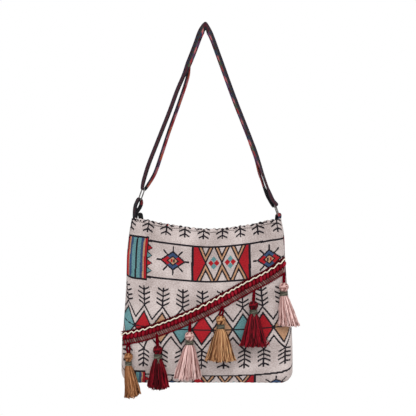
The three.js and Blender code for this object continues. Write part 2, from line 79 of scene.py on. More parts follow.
BLACK: Colour = (0, 0, 0)
WHITE: Colour = (1, 1, 1)


def dye(seen: Colour) -> Colour:
    """Turns a colour as it is seen in the studio into the linear one that a shader takes.

    Args:
        seen: Red, green and blue, from 0 to 255.

    Returns:
        The linear colour.
    """
    shares = [level / 255 for level in seen]
    linear = [share / 12.92 if share <= 0.04045 else ((share + 0.055) / 1.055) ** 2.4 for share in shares]
    return tuple(level / STUDIO_LIGHT for level in linear)


def smoothstep(at: Amount, low: Amount, high: Amount) -> Array:
    """Rises smoothly from 0 at low to 1 at high, and gives the share at each place."""
    share = np.clip((np.asarray(at, float) - low) / (high - low), 0, 1)
    return share * share * (3 - 2 * share)


def through_rows(at: Amount, places: Array, values: Array) -> Array:
    """Reads a smooth curve through the rows of a table.

    Args:
        at: Places to read.
        places: The table's places, rising.
        values: The table's value at each place.

    Returns:
        The curve's value at each place asked for.
    """
    slopes = np.gradient(values, places)
    slopes[1:-1] = (values[2:] - values[:-2]) / (places[2:] - places[:-2])
    row = np.clip(np.searchsorted(places, at) - 1, 0, len(places) - 2)
    step = places[row + 1] - places[row]
    share = np.clip((at - places[row]) / step, 0, 1)
    bend = (share - 1) ** 2 * share * slopes[row] + share ** 2 * (share - 1) * slopes[row + 1]
    rise = (values[row + 1] - values[row]) * share ** 2 * (3 - 2 * share)
    return values[row] + rise + bend * step


def curve_through(corners: Array, fine: int = 24) -> Array:
    """Lays a smooth line through corner points, with close corners held tighter than far ones.

    Args:
        corners: Points that the line passes, one row each.
        fine: Points on each stretch between two corners.

    Returns:
        Points along the line, one row each.
    """
    corners = np.asarray(corners, float)
    ends = np.vstack([2 * corners[0] - corners[1], corners, 2 * corners[-1] - corners[-2]])
    spans = np.sqrt(np.linalg.norm(np.diff(ends, axis=0), axis=1))[:, None]
    share = (np.arange(fine) / fine)[:, None]
    stretches = []
    for i in range(1, len(ends) - 2):
        before, here, after, last = ends[i - 1:i + 3]
        a, b, c = spans[i - 1:i + 2]
        leave = ((here - before) / a - (after - before) / (a + b) + (after - here) / b) * b
        reach = ((after - here) / b - (last - here) / (b + c) + (last - after) / c) * b
        blend = share ** 2 * (3 - 2 * share)
        bend = share * (share - 1) ** 2 * leave + share ** 2 * (share - 1) * reach
        stretches.append(here + (after - here) * blend + bend)
    return np.vstack([*stretches, corners[-1:]])


def travelled(line: Array) -> Array:
    """Distance of each point of a line from its start, along the line."""
    return np.append(0, np.cumsum(np.linalg.norm(np.diff(line, axis=0), axis=1)))


def even_steps(line: Array, count: int) -> tuple[Array, float]:
    """Places points at equal steps along a line.

    Args:
        line: Points of the line, one row each.
        count: Number of points wanted.

    Returns:
        The points, and the line's length.
    """
    far = travelled(line)
    wanted = np.linspace(0, far[-1], count)
    points = np.stack([np.interp(wanted, far, line[:, k]) for k in range(line.shape[1])], axis=1)
    return points, float(far[-1])


def full_turn(count: int) -> Array:
    """Angles at equal steps round a full turn."""
    return 2 * np.pi * np.arange(count) / count


def unit(vectors: Array) -> Array:
    """Vectors of length one, the same way as those given."""
    return vectors / np.maximum(np.linalg.norm(vectors, axis=-1, keepdims=True), 1e-9)


def between(first: Amount, last: Amount, share: Amount) -> Array:
    """Values a share of the way from the first to the last."""
    return first + (last - first) * share


def xyz(x: Amount, y: Amount, z: Amount) -> Array:
    """Points from their places along the three axes, spread over each other."""
    return np.stack(np.broadcast_arrays(x, y, z), axis=-1)


def cell_middles(values: Array) -> Array:
    """Values at the middles of a grid's cells, from those at its points."""
    return (values[1:, 1:] + values[:-1, :-1]) / 2


def away_from(x: Array, z: Array, start: Sequence[float], end: Sequence[float]) -> Array:
    """Distances of places from a straight line.

    Args:
        x: Places across.
        z: Places up.
        start: One end of the line.
        end: Its other end.

    Returns:
        The distance of each place.
    """
    run, rise = end[0] - start[0], end[1] - start[1]
    share = np.clip(((x - start[0]) * run + (z - start[1]) * rise) / (run ** 2 + rise ** 2), 0, 1)
    return np.hypot(x - start[0] - share * run, z - start[1] - share * rise)


class NodeBench:
    """A material's node tree, with short ways to add and join its nodes."""

    def __init__(self, name: str) -> None:
        """Starts a material with an empty tree.

        Args:
            name: The material's name.
        """
        self.material = bpy.data.materials.new(name)
        self.material.use_nodes = True
        self.tree = self.material.node_tree
        self.tree.nodes.clear()
        self.shader = self.add("ShaderNodeBsdfPrincipled")
        output = self.add("ShaderNodeOutputMaterial")
        self.join(self.shader.outputs["BSDF"], output.inputs["Surface"])

    def add(self, kind: str, **settings: object) -> bpy.types.Node:
        """Adds a node.

        Args:
            kind: Blender's name for the node's type.
            **settings: Properties to set on it.

        Returns:
            The node.
        """
        node = self.tree.nodes.new(kind)
        for key, value in settings.items():
            setattr(node, key, value)
        return node

    def join(self, source: Socket, target: Socket) -> None:
        """Links one socket to another."""
        self.tree.links.new(source, target)

    def place(self) -> Socket:
        """A surface's place in its object."""
        return self.add("ShaderNodeTexCoord").outputs["Object"]

    def sum(self, kind: str, first: object, second: object = 0.0) -> Socket:
        """Works out one step of arithmetic.

        Args:
            kind: Blender's name for the operation.
            first: A socket or a number.
            second: A socket or a number.

        Returns:
            The socket with the result.
        """
        node = self.add("ShaderNodeMath", operation=kind)
        for socket, value in zip(node.inputs, (first, second)):
            if isinstance(value, Socket):
                self.join(value, socket)
            else:
                socket.default_value = value
        return node.outputs[0]

    def noise(self, place: Socket, scale: float, detail: float, stretch: Sequence[float] = ()) -> Socket:
        """Soft noise from 0 to 1.

        Args:
            place: Where it is read.
            scale: Its scale.
            detail: How fine it goes.
            stretch: Scales of the place along its axes, if it is stretched.

        Returns:
            The socket with the noise.
        """
        node = self.add("ShaderNodeTexNoise")
        node.inputs["Scale"].default_value = scale
        node.inputs["Detail"].default_value = detail
        if stretch:
            mapping = self.add("ShaderNodeMapping")
            mapping.inputs["Scale"].default_value = stretch
            self.join(place, mapping.inputs["Vector"])
            place = mapping.outputs["Vector"]
        self.join(place, node.inputs["Vector"])
        return node.outputs["Fac"]

    def ramp(self, share: Socket, stops: Sequence[tuple[float, Colour]]) -> Socket:
        """Turns a share into a colour.

        Args:
            share: The socket to read.
            stops: Places from 0 to 1, each with its colour.

        Returns:
            The socket with the colour.
        """
        node = self.add("ShaderNodeValToRGB")
        self.join(share, node.inputs["Fac"])
        band = node.color_ramp
        while len(band.elements) < len(stops):
            band.elements.new(0.5)
        for element, (at, colour) in zip(band.elements, stops):
            element.position = at
            element.color = (*colour, 1)
        return node.outputs["Color"]

    def colour(self, source: Socket) -> None:
        """Gives the surface its colour."""
        self.join(source, self.shader.inputs["Base Color"])

    def relief(self, height: Socket, strength: float, depth: float) -> None:
        """Gives the surface a fine relief.

        Args:
            height: The relief's height, from 0 to 1.
            strength: How strongly it shows.
            depth: Its depth in millimetres.
        """
        node = self.add("ShaderNodeBump")
        node.inputs["Strength"].default_value = strength
        node.inputs["Distance"].default_value = depth * METRES
        self.join(height, node.inputs["Height"])
        self.join(node.outputs["Normal"], self.shader.inputs["Normal"])

    def set(self, **values: object) -> None:
        """Sets the shader's own sockets, named with underscores for spaces."""
        for key, value in values.items():
            self.shader.inputs[key.replace("_", " ")].default_value = value


class Finish(Protocol):
    """What a piece is dressed with. Its colours are held as they are seen, from 0 to 255."""

    name: str

    def material(self) -> bpy.types.Material:
        """The finish as a Blender material."""


@dataclass(frozen=True)
class WovenYarn:
    """Dyed yarn in woven cloth or webbing: its colour, its flecks and the relief of the weave."""

    name: str
    colour: Colour
    fleck: Colour
    pitch: float = 1.1
    relief: float = 0.28
    mottle: float = 0.16
    roughness: float = 0.95
    sheen: float = 0.02

    def material(self) -> bpy.types.Material:
        """Makes the cloth: threads over and under each other, flecked and mottled.

        Returns:
            The material.
        """
        bench = NodeBench(self.name)
        cloth = bench.add("ShaderNodeUVMap", uv_map=CLOTH_UV).outputs["UV"]
        slub = bench.noise(cloth, 1.0, 3, (0.3, 0.7, 1))
        grain = bench.noise(cloth, 1.3, 1, (0.9, 0.5, 1))
        both = bench.sum("ADD", bench.sum("MULTIPLY", slub, 0.6), bench.sum("MULTIPLY", grain, 0.4))
        flecked = bench.ramp(both, [(0.37, dye(self.fleck)), (0.6, dye(self.colour))])
        patch = bench.ramp(bench.noise(bench.place(), 22, 2), [(0.3, BLACK), (0.7, WHITE)])
        mix = bench.add("ShaderNodeMix", data_type="RGBA", blend_type="SOFT_LIGHT")
        mix.inputs[0].default_value = self.mottle
        bench.join(flecked, mix.inputs[6])
        bench.join(patch, mix.inputs[7])
        bench.colour(mix.outputs[2])
        bench.relief(self.weave(bench, cloth), 0.75, self.relief)
        bench.set(Roughness=self.roughness, Sheen_Weight=self.sheen, Sheen_Roughness=0.5)
        bench.set(Specular_IOR_Level=0.06)
        return bench.material

    def weave(self, bench: NodeBench, cloth: Socket) -> Socket:
        """Height of threads that pass over and under each other.

        Args:
            bench: The tree to work in.
            cloth: Place on the cloth, in millimetres.

        Returns:
            The socket with the height.
        """
        parts = bench.add("ShaderNodeSeparateXYZ")
        bench.join(cloth, parts.inputs[0])
        ridges = []
        for place in parts.outputs[:2]:
            turn = bench.sum("MULTIPLY", place, math.pi / self.pitch)
            ridges.append(bench.sum("ABSOLUTE", bench.sum("SINE", turn)))
        turns = bench.add("ShaderNodeTexChecker")
        turns.inputs["Scale"].default_value = 1 / self.pitch
        bench.join(cloth, turns.inputs["Vector"])
        over = bench.sum("MULTIPLY", turns.outputs["Fac"], ridges[0])
        under = bench.sum("MULTIPLY", bench.sum("SUBTRACT", 1.0, turns.outputs["Fac"]), ridges[1])
        return bench.sum("ADD", over, under)


@dataclass(frozen=True)
class LooseThread:
    """Dyed thread that lies free, coloured from dark to light by each strand's shade value: its own random
    tone, and on some parts painted shade in the folds of a bundle and a painted highlight on its ridges.
    """

    name: str
    dark: Colour
    colour: Colour
    light: Colour
    roughness: float = 0.5
    index: float = 1.16
    fuzz: float = 0.12

    def material(self) -> bpy.types.Material:
        """Makes the thread, coloured by each strand's shade value (its own tone and any painted shade), with
        a fine fibre relief.

        Returns:
            The material.
        """
        bench = NodeBench(self.name)
        strand = bench.add("ShaderNodeAttribute", attribute_name=SHADE).outputs["Fac"]
        fibre = bench.noise(bench.place(), 2600, 2, (1, 1, 0.12))
        shade = bench.sum("ADD", bench.sum("MULTIPLY", strand, 0.8), bench.sum("MULTIPLY", fibre, 0.2))
        stops = [(0.12, dye(self.dark)), (0.5, dye(self.colour)), (0.88, dye(self.light))]
        bench.colour(bench.ramp(shade, stops))
        bench.relief(fibre, 0.5, self.fuzz)
        bench.set(Roughness=self.roughness, IOR=self.index)
        return bench.material


@dataclass(frozen=True)
class PlatedMetal:
    """Plated wire with the dull streaks of wear."""

    name: str
    colour: Colour
    worn: Colour
    smooth: float = 0.2
    dull: float = 0.42

    def material(self) -> bpy.types.Material:
        """Makes the metal, duller and darker in patches, with fine scratches.

        Returns:
            The material.
        """
        bench = NodeBench(self.name)
        patches = bench.noise(bench.place(), 420, 4)
        bench.colour(bench.ramp(patches, [(0.35, dye(self.worn)), (0.6, dye(self.colour))]))
        gloss = bench.sum("MULTIPLY_ADD", patches, self.smooth - self.dull)
        gloss.node.inputs[2].default_value = self.dull
        bench.join(gloss, bench.shader.inputs["Roughness"])
        bench.relief(bench.noise(bench.place(), 5200, 2, (1, 0.1, 1)), 0.25, 0.05)
        bench.set(Metallic=1.0)
        return bench.material


@dataclass(frozen=True)
class MouldedPlastic:
    """Moulded plastic with a fine grain."""

    name: str
    colour: Colour
    scuffed: Colour
    roughness: float = 0.4

    def material(self) -> bpy.types.Material:
        """Makes the plastic, a little paler where it is scuffed.

        Returns:
            The material.
        """
        bench = NodeBench(self.name)
        scuffs = bench.noise(bench.place(), 700, 5)
        bench.colour(bench.ramp(scuffs, [(0.5, dye(self.colour)), (0.8, dye(self.scuffed))]))
        bench.relief(bench.noise(bench.place(), 3800, 2), 0.3, 0.06)
        bench.set(Roughness=self.roughness, Specular_IOR_Level=0.08)
        return bench.material


@dataclass(frozen=True)
class PaleFloor:
    """Matt pale floor of the studio, whose colours are held as linear ones."""

    name: str = "studio_floor"
    colour: Colour = (0.82, 0.82, 0.82)
    shaded: Colour = (0.78, 0.78, 0.78)

    def material(self) -> bpy.types.Material:
        """Makes the floor, with a barely visible unevenness.

        Returns:
            The material.
        """
        bench = NodeBench(self.name)
        bench.colour(bench.ramp(bench.noise(bench.place(), 3, 3), [(0.3, self.shaded), (0.7, self.colour)]))
        bench.set(Roughness=0.95, Specular_IOR_Level=0.1)
        return bench.material


@dataclass
class MeshBundle:
    """Sheets, bands and threads gathered into one mesh, each face with its finish."""

    name: str
    points: list[Array] = field(default_factory=list)
    cloth: list[Array] = field(default_factory=list)
    shade: list[Array] = field(default_factory=list)
    faces: list[list[int]] = field(default_factory=list)
    finish: list[Array] = field(default_factory=list)
    count: int = 0

    def take(self, points: Array, cloth: Array | None, shade: Amount) -> int:
        """Adds points, with their places on the cloth and their shades.

        Args:
            points: The points, with X, Y and Z in the last axis.
            cloth: Places on the cloth in the same order, or None.
            shade: Shade from 0 to 1, one for all or one for each.

        Returns:
            The index of the first of them.
        """
        start = self.count
        flat = points.reshape(-1, 3)
        self.points.append(flat)
        self.cloth.append(np.zeros((len(flat), 2)) if cloth is None else cloth.reshape(-1, 2))
        self.shade.append(np.broadcast_to(shade, points.shape[:-1]).reshape(-1))
        self.count += len(flat)
        return start

    def add_sheet(self, points: Array, cloth: Array, finish: Array | int = 0, flip: bool = False) -> None:
        """Adds a sheet.

        Args:
            points: Rows and columns of points.
            cloth: Their places on the cloth.
            finish: Index of the finish, one for all or one for each square between the points.
            flip: Whether its faces look the other way.
        """
        start = self.take(points, cloth, 0.5)
        rows, columns = points.shape[:2]
        index = start + np.arange(rows * columns).reshape(rows, columns)
        corners = [index[:-1, :-1], index[:-1, 1:], index[1:, 1:], index[1:, :-1]]
        quads = np.stack(corners[::-1] if flip else corners, axis=-1).reshape(-1, 4)
        self.faces.extend(quads.tolist())
        self.finish.append(np.broadcast_to(finish, (rows - 1, columns - 1)).reshape(-1))

    def add_bands(
        self,
        rings: Array,
        finish: Array | int = 0,
        shade: Amount = 0.5,
        cloth: Array | None = None,
        closed: bool = False,
    ) -> None:
        """Adds bands or tubes, each through its own rings of points.

        Args:
            rings: Points by band, ring and place round the ring.
            finish: Index of the finish, one for all, or one for each face of each band.
            shade: Shade from 0 to 1, which spreads over the points.
            cloth: Places on the cloth, as the points.
            closed: Whether each band runs back into its own start.
        """
        bands, stations, sides = rings.shape[:3]
        start = self.take(rings, cloth, shade)
        index = start + np.arange(bands * stations * sides).reshape(bands, stations, sides)
        onward = np.roll(index, -1, axis=1) if closed else index[:, 1:]
        here = index if closed else index[:, :-1]
        corners = [here, np.roll(here, -1, axis=2), np.roll(onward, -1, axis=2), onward]
        quads = np.stack(corners, axis=-1)
        self.faces.extend(quads.reshape(-1, 4).tolist())
        dressed = np.broadcast_to(finish, quads.shape[:3])
        self.finish.append(dressed.reshape(-1))
        if not closed:
            self.faces.extend(index[:, 0, ::-1].tolist())
            self.faces.extend(index[:, -1].tolist())
            self.finish.extend([dressed[:, 0, 0], dressed[:, -1, 0]])

    def add_threads(
        self,
        lines: Array,
        radius: Amount,
        sides: int = 5,
        finish: int = 0,
        shade: Amount = 0.5,
        level: Sequence[float] = (0, 1, 0),
        closed: bool = False,
    ) -> None:
        """Adds round threads along lines.

        Args:
            lines: Points by thread and station.
            radius: Radius, one for all or one for each point.
            sides: Corners of a thread's section.
            finish: Index of the finish.
            shade: Shade from 0 to 1, one for all or one for each thread.
            level: A direction that no thread runs along.
            closed: Whether each thread runs back into its own start.
        """
        if closed:
            along = unit(np.roll(lines, -1, axis=1) - np.roll(lines, 1, axis=1))
        else:
            along = unit(np.gradient(lines, axis=1))
        across = unit(np.cross(np.asarray(level, float), along))
        over = np.cross(along, across)
        angle = full_turn(sides)
        size = np.broadcast_to(radius, lines.shape[:2])[..., None, None]
        turn = across[:, :, None] * np.cos(angle)[:, None] + over[:, :, None] * np.sin(angle)[:, None]
        spread = np.asarray(shade, float).reshape(-1, 1, 1)
        self.add_bands(lines[:, :, None] + size * turn, finish, spread, closed=closed)

    def build(self, finishes: Sequence[Finish], slot: str, replaces: Sequence[str] = ()) -> Piece:
        """Makes the mesh object, dresses it and sets it on the bag.

        Args:
            finishes: The finishes, in the order of their indices.
            slot: The record's material slot; not used.
            replaces: Nodes that the piece stands for.

        Returns:
            The object.
        """
        mesh = bpy.data.meshes.new(self.name)
        mesh.from_pydata((np.vstack(self.points) * METRES).tolist(), [], self.faces)
        corner = np.zeros(len(mesh.loops), np.int32)
        mesh.loops.foreach_get("vertex_index", corner)
        layer = mesh.uv_layers.new(name=CLOTH_UV)
        layer.data.foreach_set("uv", np.vstack(self.cloth)[corner].astype(np.float32).reshape(-1))
        shade = mesh.attributes.new(SHADE, "FLOAT", "POINT")
        shade.data.foreach_set("value", np.concatenate(self.shade).astype(np.float32))
        mesh.polygons.foreach_set("material_index", np.concatenate(self.finish).astype(np.int32))
        mesh.polygons.foreach_set("use_smooth", np.ones(len(mesh.polygons), bool))
        for finish in finishes:
            mesh.materials.append(bpy.data.materials.get(finish.name) or finish.material())
        mesh.validate()
        piece = bpy.data.objects.new(self.name, mesh)
        bpy.context.scene.collection.objects.link(piece)
        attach(piece, BODY)
        if replaces:
            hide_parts(*replaces)
        log.info("%s: %d faces", self.name, len(mesh.polygons))
        return piece


class Facing(IntEnum):
    """The way that a panel of the bag faces, along Y."""

    FRONT = -1
    BACK = 1

    @property
    def side(self) -> str:
        """The word for that side of the bag."""
        return self.name.lower()


@dataclass(frozen=True)
class Fold:
    """A soft dent along a line on the cloth, or a swell where its depth is below zero."""

    start: Place
    end: Place
    width: float
    depth: float

    def at(self, x: Array, z: Array) -> Array:
        """Depth of the dent at places across and up, seen from the front."""
        return self.depth * np.exp(-((away_from(x, z, self.start, self.end) / self.width) ** 2))


@dataclass(frozen=True)
class BagShape:
    """The soft body. u runs from -1 at its left side to 1 at its right, v from the bottom seam to the lip."""

    lip_corner: float = 381
    lip_sag: float = 17.5
    lip_round: float = 0.16
    lip_shift: float = 0.1
    lip_slump: float = 3
    slump_from: float = 0.14
    slump_to: float = 0.42
    base_below: float = 700
    corner_radius: float = 24
    belly: float = 32
    belly_at: float = 0.36
    belly_power: float = 0.6
    mouth: float = 20
    wall: float = 2
    seam: float = 2.5
    blunt_from: float = 0.75
    side_power: float = 2.4
    side_root: float = 0.7
    mouth_power: float = 7
    mouth_root: float = 1 / 7
    below: Row = (381, 412, 450, 510, 570, 625, 700)
    left: Row = (-143.6, -149, -153, -154.4, -158.2, -162.5, -164)
    right: Row = (147.4, 153.2, 154.8, 159.2, 166, 169.4, 169.8)
    front_folds: tuple[Fold, ...] = (
        Fold((-134, -394), (-62, -468), width=17, depth=2.4),
        Fold((137, -394), (72, -462), width=16, depth=2.2),
        Fold((-46, -416), (40, -414), width=13, depth=3),
        Fold((-139, -505), (-144, -655), width=13, depth=1.8),
        Fold((148, -535), (146, -668), width=13, depth=2),
        Fold((-62, -664), (72, -668), width=24, depth=-2.2),
    )
    back_folds: tuple[Fold, ...] = (
        Fold((-130, -396), (-40, -480), width=18, depth=2.4),
        Fold((132, -396), (55, -486), width=18, depth=2.6),
        Fold((-35, -417), (48, -416), width=14, depth=2.6),
        Fold((143, -520), (147, -660), width=13, depth=1.8),
        Fold((-70, -662), (60, -668), width=24, depth=-2),
    )

    def edges(self, z: Array) -> tuple[Array, Array]:
        """Middle and half width of the body at heights.

        Args:
            z: Heights.

        Returns:
            The middles and the half widths.
        """
        left, right = (
            through_rows(-np.asarray(z, float), np.array(self.below, float), np.array(side, float))
            for side in (self.left, self.right)
        )
        return (left + right) / 2, (right - left) / 2

    def lip(self, u: Array) -> Array:
        """Height of the lip, which sags between the corners and a little more to the right.

        Args:
            u: Places across.

        Returns:
            The height at each place.
        """
        across = u - self.lip_shift * (1 + u) / 2
        end = math.hypot(1, self.lip_round)
        straight = (end - np.hypot(across, self.lip_round)) / (end - self.lip_round)
        curved = (1 + np.cos(np.pi * across)) / 2
        return -self.lip_corner - self.lip_sag * (straight + curved) / 2 - self.slump(u)

    def slump(self, u: Array) -> Array:
        """How far the soft lip drops between its corners under its own weight."""
        return self.lip_slump * smoothstep(1 - np.abs(u), self.slump_from, self.slump_to)

    def base(self, u: Array) -> Array:
        """Height of the bottom seam, which is rounded at the corners.

        Args:
            u: Places across.

        Returns:
            The height at each place.
        """
        half = self.edges(-self.base_below)[1]
        into = np.maximum(0, (np.abs(u) * half - half + self.corner_radius) / self.corner_radius)
        return -self.base_below + self.corner_radius * (1 - np.sqrt(np.maximum(0, 1 - into ** 2)))

    def fullness(self, v: Array) -> Array:
        """Half depth along the middle of the body.

        Args:
            v: Places up.

        Returns:
            The half depth at each place.
        """
        below = np.maximum(0, 1 - (1 - np.minimum(v / self.belly_at, 1)) ** 2)
        above = (v - self.belly_at) / (1 - self.belly_at)
        high = self.mouth + (self.belly - self.mouth) * (1 + np.cos(np.pi * above)) / 2
        return np.where(v < self.belly_at, self.belly * below ** self.belly_power, high)

    def share(self, u: Array, v: Array) -> Array:
        """Share of that depth towards the side seams, blunter at the mouth.

        Args:
            u: Places across.
            v: Places up.

        Returns:
            The share at each place.
        """
        blunt = smoothstep(v, self.blunt_from, 1)
        power = between(self.side_power, self.mouth_power, blunt)
        root = between(self.side_root, self.mouth_root, blunt)
        return np.maximum(0, 1 - np.minimum(1, np.abs(u)) ** power) ** root

    def depth(self, facing: Facing, u: Array, v: Array, x: Array, z: Array, wall: float = 0) -> Array:
        """Half depth of a panel with its folds.

        Args:
            facing: The panel's side.
            u: Places across, from -1 to 1.
            v: Places up, from 0 to 1.
            x: The same places across, in millimetres.
            z: The same places up, in millimetres.
            wall: Thickness taken off for the inner face.

        Returns:
            The depth at each place.
        """
        full = np.maximum(0, self.fullness(v) - wall)
        share = self.share(u, v)
        folds = self.front_folds if facing is Facing.FRONT else self.back_folds
        dents = sum(fold.at(x, z) for fold in folds)
        return full * share - dents * share * np.minimum(1, full / self.mouth)

    def point(self, facing: Facing, u: Array, v: Array, inset: float = 0, wall: float = 0) -> Array:
        """Points on a panel.

        Args:
            facing: The panel's side.
            u: Places across.
            v: Places up.
            inset: How far in from the seams.
            wall: Thickness taken off for the inner face.

        Returns:
            The points.
        """
        base = self.base(u) + inset
        z = base + (self.lip(u) - base) * v
        middle, half = self.edges(z)
        x = middle + u * (half - inset)
        return xyz(x, int(facing) * self.depth(facing, u, v, x, z, wall), z)

    def front_depth(self, x: Array, z: Array) -> Array:
        """Depth of the front panel at places seen from the front, and zero beside the body.

        Args:
            x: Places across.
            z: Places up.

        Returns:
            The depth at each place.
        """
        middle, half = self.edges(z)
        u = np.clip((x - middle) / half, -1, 1)
        v = (z - self.base(u)) / (self.lip(u) - self.base(u))
        depth = self.depth(Facing.FRONT, u, np.clip(v, 0, 1), x, z)
        return np.where((v > 0) & (v <= 1), depth, 0)

    def over_front(self, x: Array, z: Array, height: Amount) -> Array:
        """Points at a height over the front panel, square to its surface.

        Args:
            x: Places across.
            z: Places up.
            height: Heights over the cloth.

        Returns:
            The points.
        """
        step = 1.0
        slope_x = (self.front_depth(x + step, z) - self.front_depth(x - step, z)) / (2 * step)
        slope_z = (self.front_depth(x, z + step) - self.front_depth(x, z - step)) / (2 * step)
        normal = unit(xyz(-slope_x, -1.0, -slope_z))
        return xyz(x, -self.front_depth(x, z), z) + normal * np.asarray(height, float)[..., None]


class Yarn(IntEnum):
    """The yarns of the figured cloth, in the order of its finishes."""

    GROUND = 0
    BLACK = 1
    RED = 2
    TEAL = 3
    NAVY = 4
    TAN = 5


CLOTH_YARNS: tuple[WovenYarn, ...] = (
    WovenYarn("ground_yarn", (203, 191, 188), (157, 142, 138), mottle=0.35),
    WovenYarn("black_yarn", (25, 22, 27), (40, 36, 41)),
    WovenYarn("red_yarn", (172, 34, 42), (128, 22, 30)),
    WovenYarn("teal_yarn", (108, 150, 152), (66, 106, 112)),
    WovenYarn("navy_yarn", (62, 84, 116), (42, 54, 82)),
    WovenYarn("tan_yarn", (190, 149, 116), (146, 104, 80)),
)


@dataclass(frozen=True)
class TreeRow:
    """A row of trees in the figure: where its branches leave the trunk, their slant and the trunk's ends."""

    branches: Row
    slant: float
    foot: float
    top: float


@dataclass(frozen=True)
class FolkChart:
    """The woven figure. s runs across the cloth from the middle, t up from the line under its trees."""

    repeat_up: float = 249.1
    first_line: float = 16.3
    line: float = 3.9
    stroke: float = 3.3
    pitch: float = 40.3
    slant: float = 0.0216
    start: float = -12.5
    band_foot: float = 181.6
    band_repeat: float = 340.4
    block_edge: float = -115.6
    block_wide: float = 48
    block_over: float = 7
    stripes: tuple[tuple[float, Yarn], ...] = (
        (2.2, Yarn.BLACK), (7, Yarn.RED), (10, Yarn.TAN), (15.2, Yarn.NAVY),
        (22.2, Yarn.TEAL), (24, Yarn.BLACK),
    )
    points: tuple[tuple[float, Yarn], ...] = (
        (236.4, Yarn.RED), (222.2, Yarn.TEAL), (208, Yarn.RED), (193.8, Yarn.TEAL),
    )
    eyes: tuple[tuple[float, float, int], ...] = ((-62, 217, 1), (140.5, 215, -1))
    panel_from: float = -20.9
    panel_to: float = 99
    crossings: Row = (6.5, 41, 75.5)
    crossing_height: float = 217.9
    crossing_slope: float = 1.94
    crossing_cosine: float = 0.458
    tree_rows: tuple[TreeRow, ...] = (
        TreeRow((130, 138.1, 147.8, 157.5), slant=0.5, foot=128.3, top=165),
        TreeRow((47.5, 39.4, 31.3, 21.8), slant=-0.48, foot=14.2, top=47.7),
    )
    branch_reach: float = 13
    last_reach: float = 10.8
    diamond_height: float = 88.1
    diamond_tall: float = 28.7
    diamond_cosine: float = 0.575
    zigzag_peak: float = 40.2
    zigzag_valley: float = 15.5
    zigzag_cosine: float = 0.632
    eye_wide: float = 27.5
    eye_tall: float = 19.2
    point_long: float = 10.8
    point_half: float = 5
    block_end: float = 3.6

    def paint(self, s: Array, t: Array) -> Array:
        """Finds the yarn at each place on the cloth.

        Args:
            s: Places across from the middle of the panel.
            t: Places up from the bottom seam.

        Returns:
            The index of the yarn that shows there.
        """
        s = s - self.start - self.slant * t
        t = np.mod(t - self.first_line, self.repeat_up)
        yarn = np.full(s.shape, Yarn.GROUND)
        self.diamonds(yarn, s, t)
        self.trees(yarn, s, t)
        across = np.mod(s + self.block_wide - self.block_edge, self.band_repeat)
        across = across - self.block_wide + self.block_edge
        for middle, height, side in self.eyes:
            self.eye(yarn, (across - middle) * side, t - height)
        self.panel(yarn, across, t)
        for height in (0, self.band_foot, self.repeat_up):
            yarn[np.abs(t - height) < self.line / 2] = Yarn.BLACK
        self.block(yarn, across, t)
        return yarn

    def trees(self, yarn: Array, s: Array, t: Array) -> None:
        """Draws the row of standing trees and the row of hanging ones.

        Args:
            yarn: The yarns, which it changes.
            s: Places across.
            t: Places up.
        """
        side = np.abs(np.mod(s + self.pitch / 2, self.pitch) - self.pitch / 2)
        for row in self.tree_rows:
            yarn[(side < self.stroke / 2) & (t > row.foot) & (t < row.top)] = Yarn.BLACK
            for branch in row.branches:
                reach = self.last_reach if branch == row.branches[-1] else self.branch_reach
                on = (np.abs(t - branch - row.slant * side) < self.stroke * 0.54) & (side < reach)
                yarn[on] = Yarn.BLACK

    def diamonds(self, yarn: Array, s: Array, t: Array) -> None:
        """Draws the row of split diamonds between two zigzag lines.

        Args:
            yarn: The yarns, which it changes.
            s: Places across.
            t: Places up.
        """
        half = self.pitch / 2
        number = np.floor((s + half) / self.pitch).astype(int)
        towards = 1 - np.abs(s - number * self.pitch) / half
        up = np.abs(t - self.diamond_height)
        edge = up - self.diamond_tall * towards
        zigzag = up - self.zigzag_valley - (self.zigzag_peak - self.zigzag_valley) * towards
        fill = np.array([Yarn.RED, Yarn.TAN, Yarn.TEAL])[np.mod(number, 3)]
        yarn[edge < 0] = fill[edge < 0]
        outline = np.abs(edge) * self.diamond_cosine < self.stroke / 2
        outline |= np.abs(zigzag) * self.zigzag_cosine < self.stroke / 2
        yarn[outline | (up < 1)] = Yarn.BLACK

    def eye(self, yarn: Array, s: Array, t: Array) -> None:
        """Draws an eye: a diamond in rings with eight spikes.

        Args:
            yarn: The yarns, which it changes.
            s: Places across from the eye's middle.
            t: Places up from it.
        """
        wide, tall = self.eye_wide, self.eye_tall
        out = np.abs(s) / wide + np.abs(t) / tall
        lids = np.where(np.abs(t) / tall > np.abs(s) / wide, Yarn.NAVY, Yarn.RED)
        spikes = [((0, tall), (0, 26)), ((wide, 0), (33, 0)), ((12.5, 12), (19.5, 18.5))]
        for start, end in spikes:
            yarn[away_from(np.abs(s), np.abs(t), start, end) < self.stroke / 2] = Yarn.BLACK
        for size, colour in ((1, Yarn.BLACK), (0.81, lids), (0.5, Yarn.BLACK), (0.35, Yarn.TAN)):
            yarn[out < size] = np.broadcast_to(colour, s.shape)[out < size]
        dot = (np.abs(np.abs(s) - 2.9) < 1.8) & (np.abs(t) < 3)
        yarn[dot] = np.where(s < 0, Yarn.RED, Yarn.BLACK)[dot]

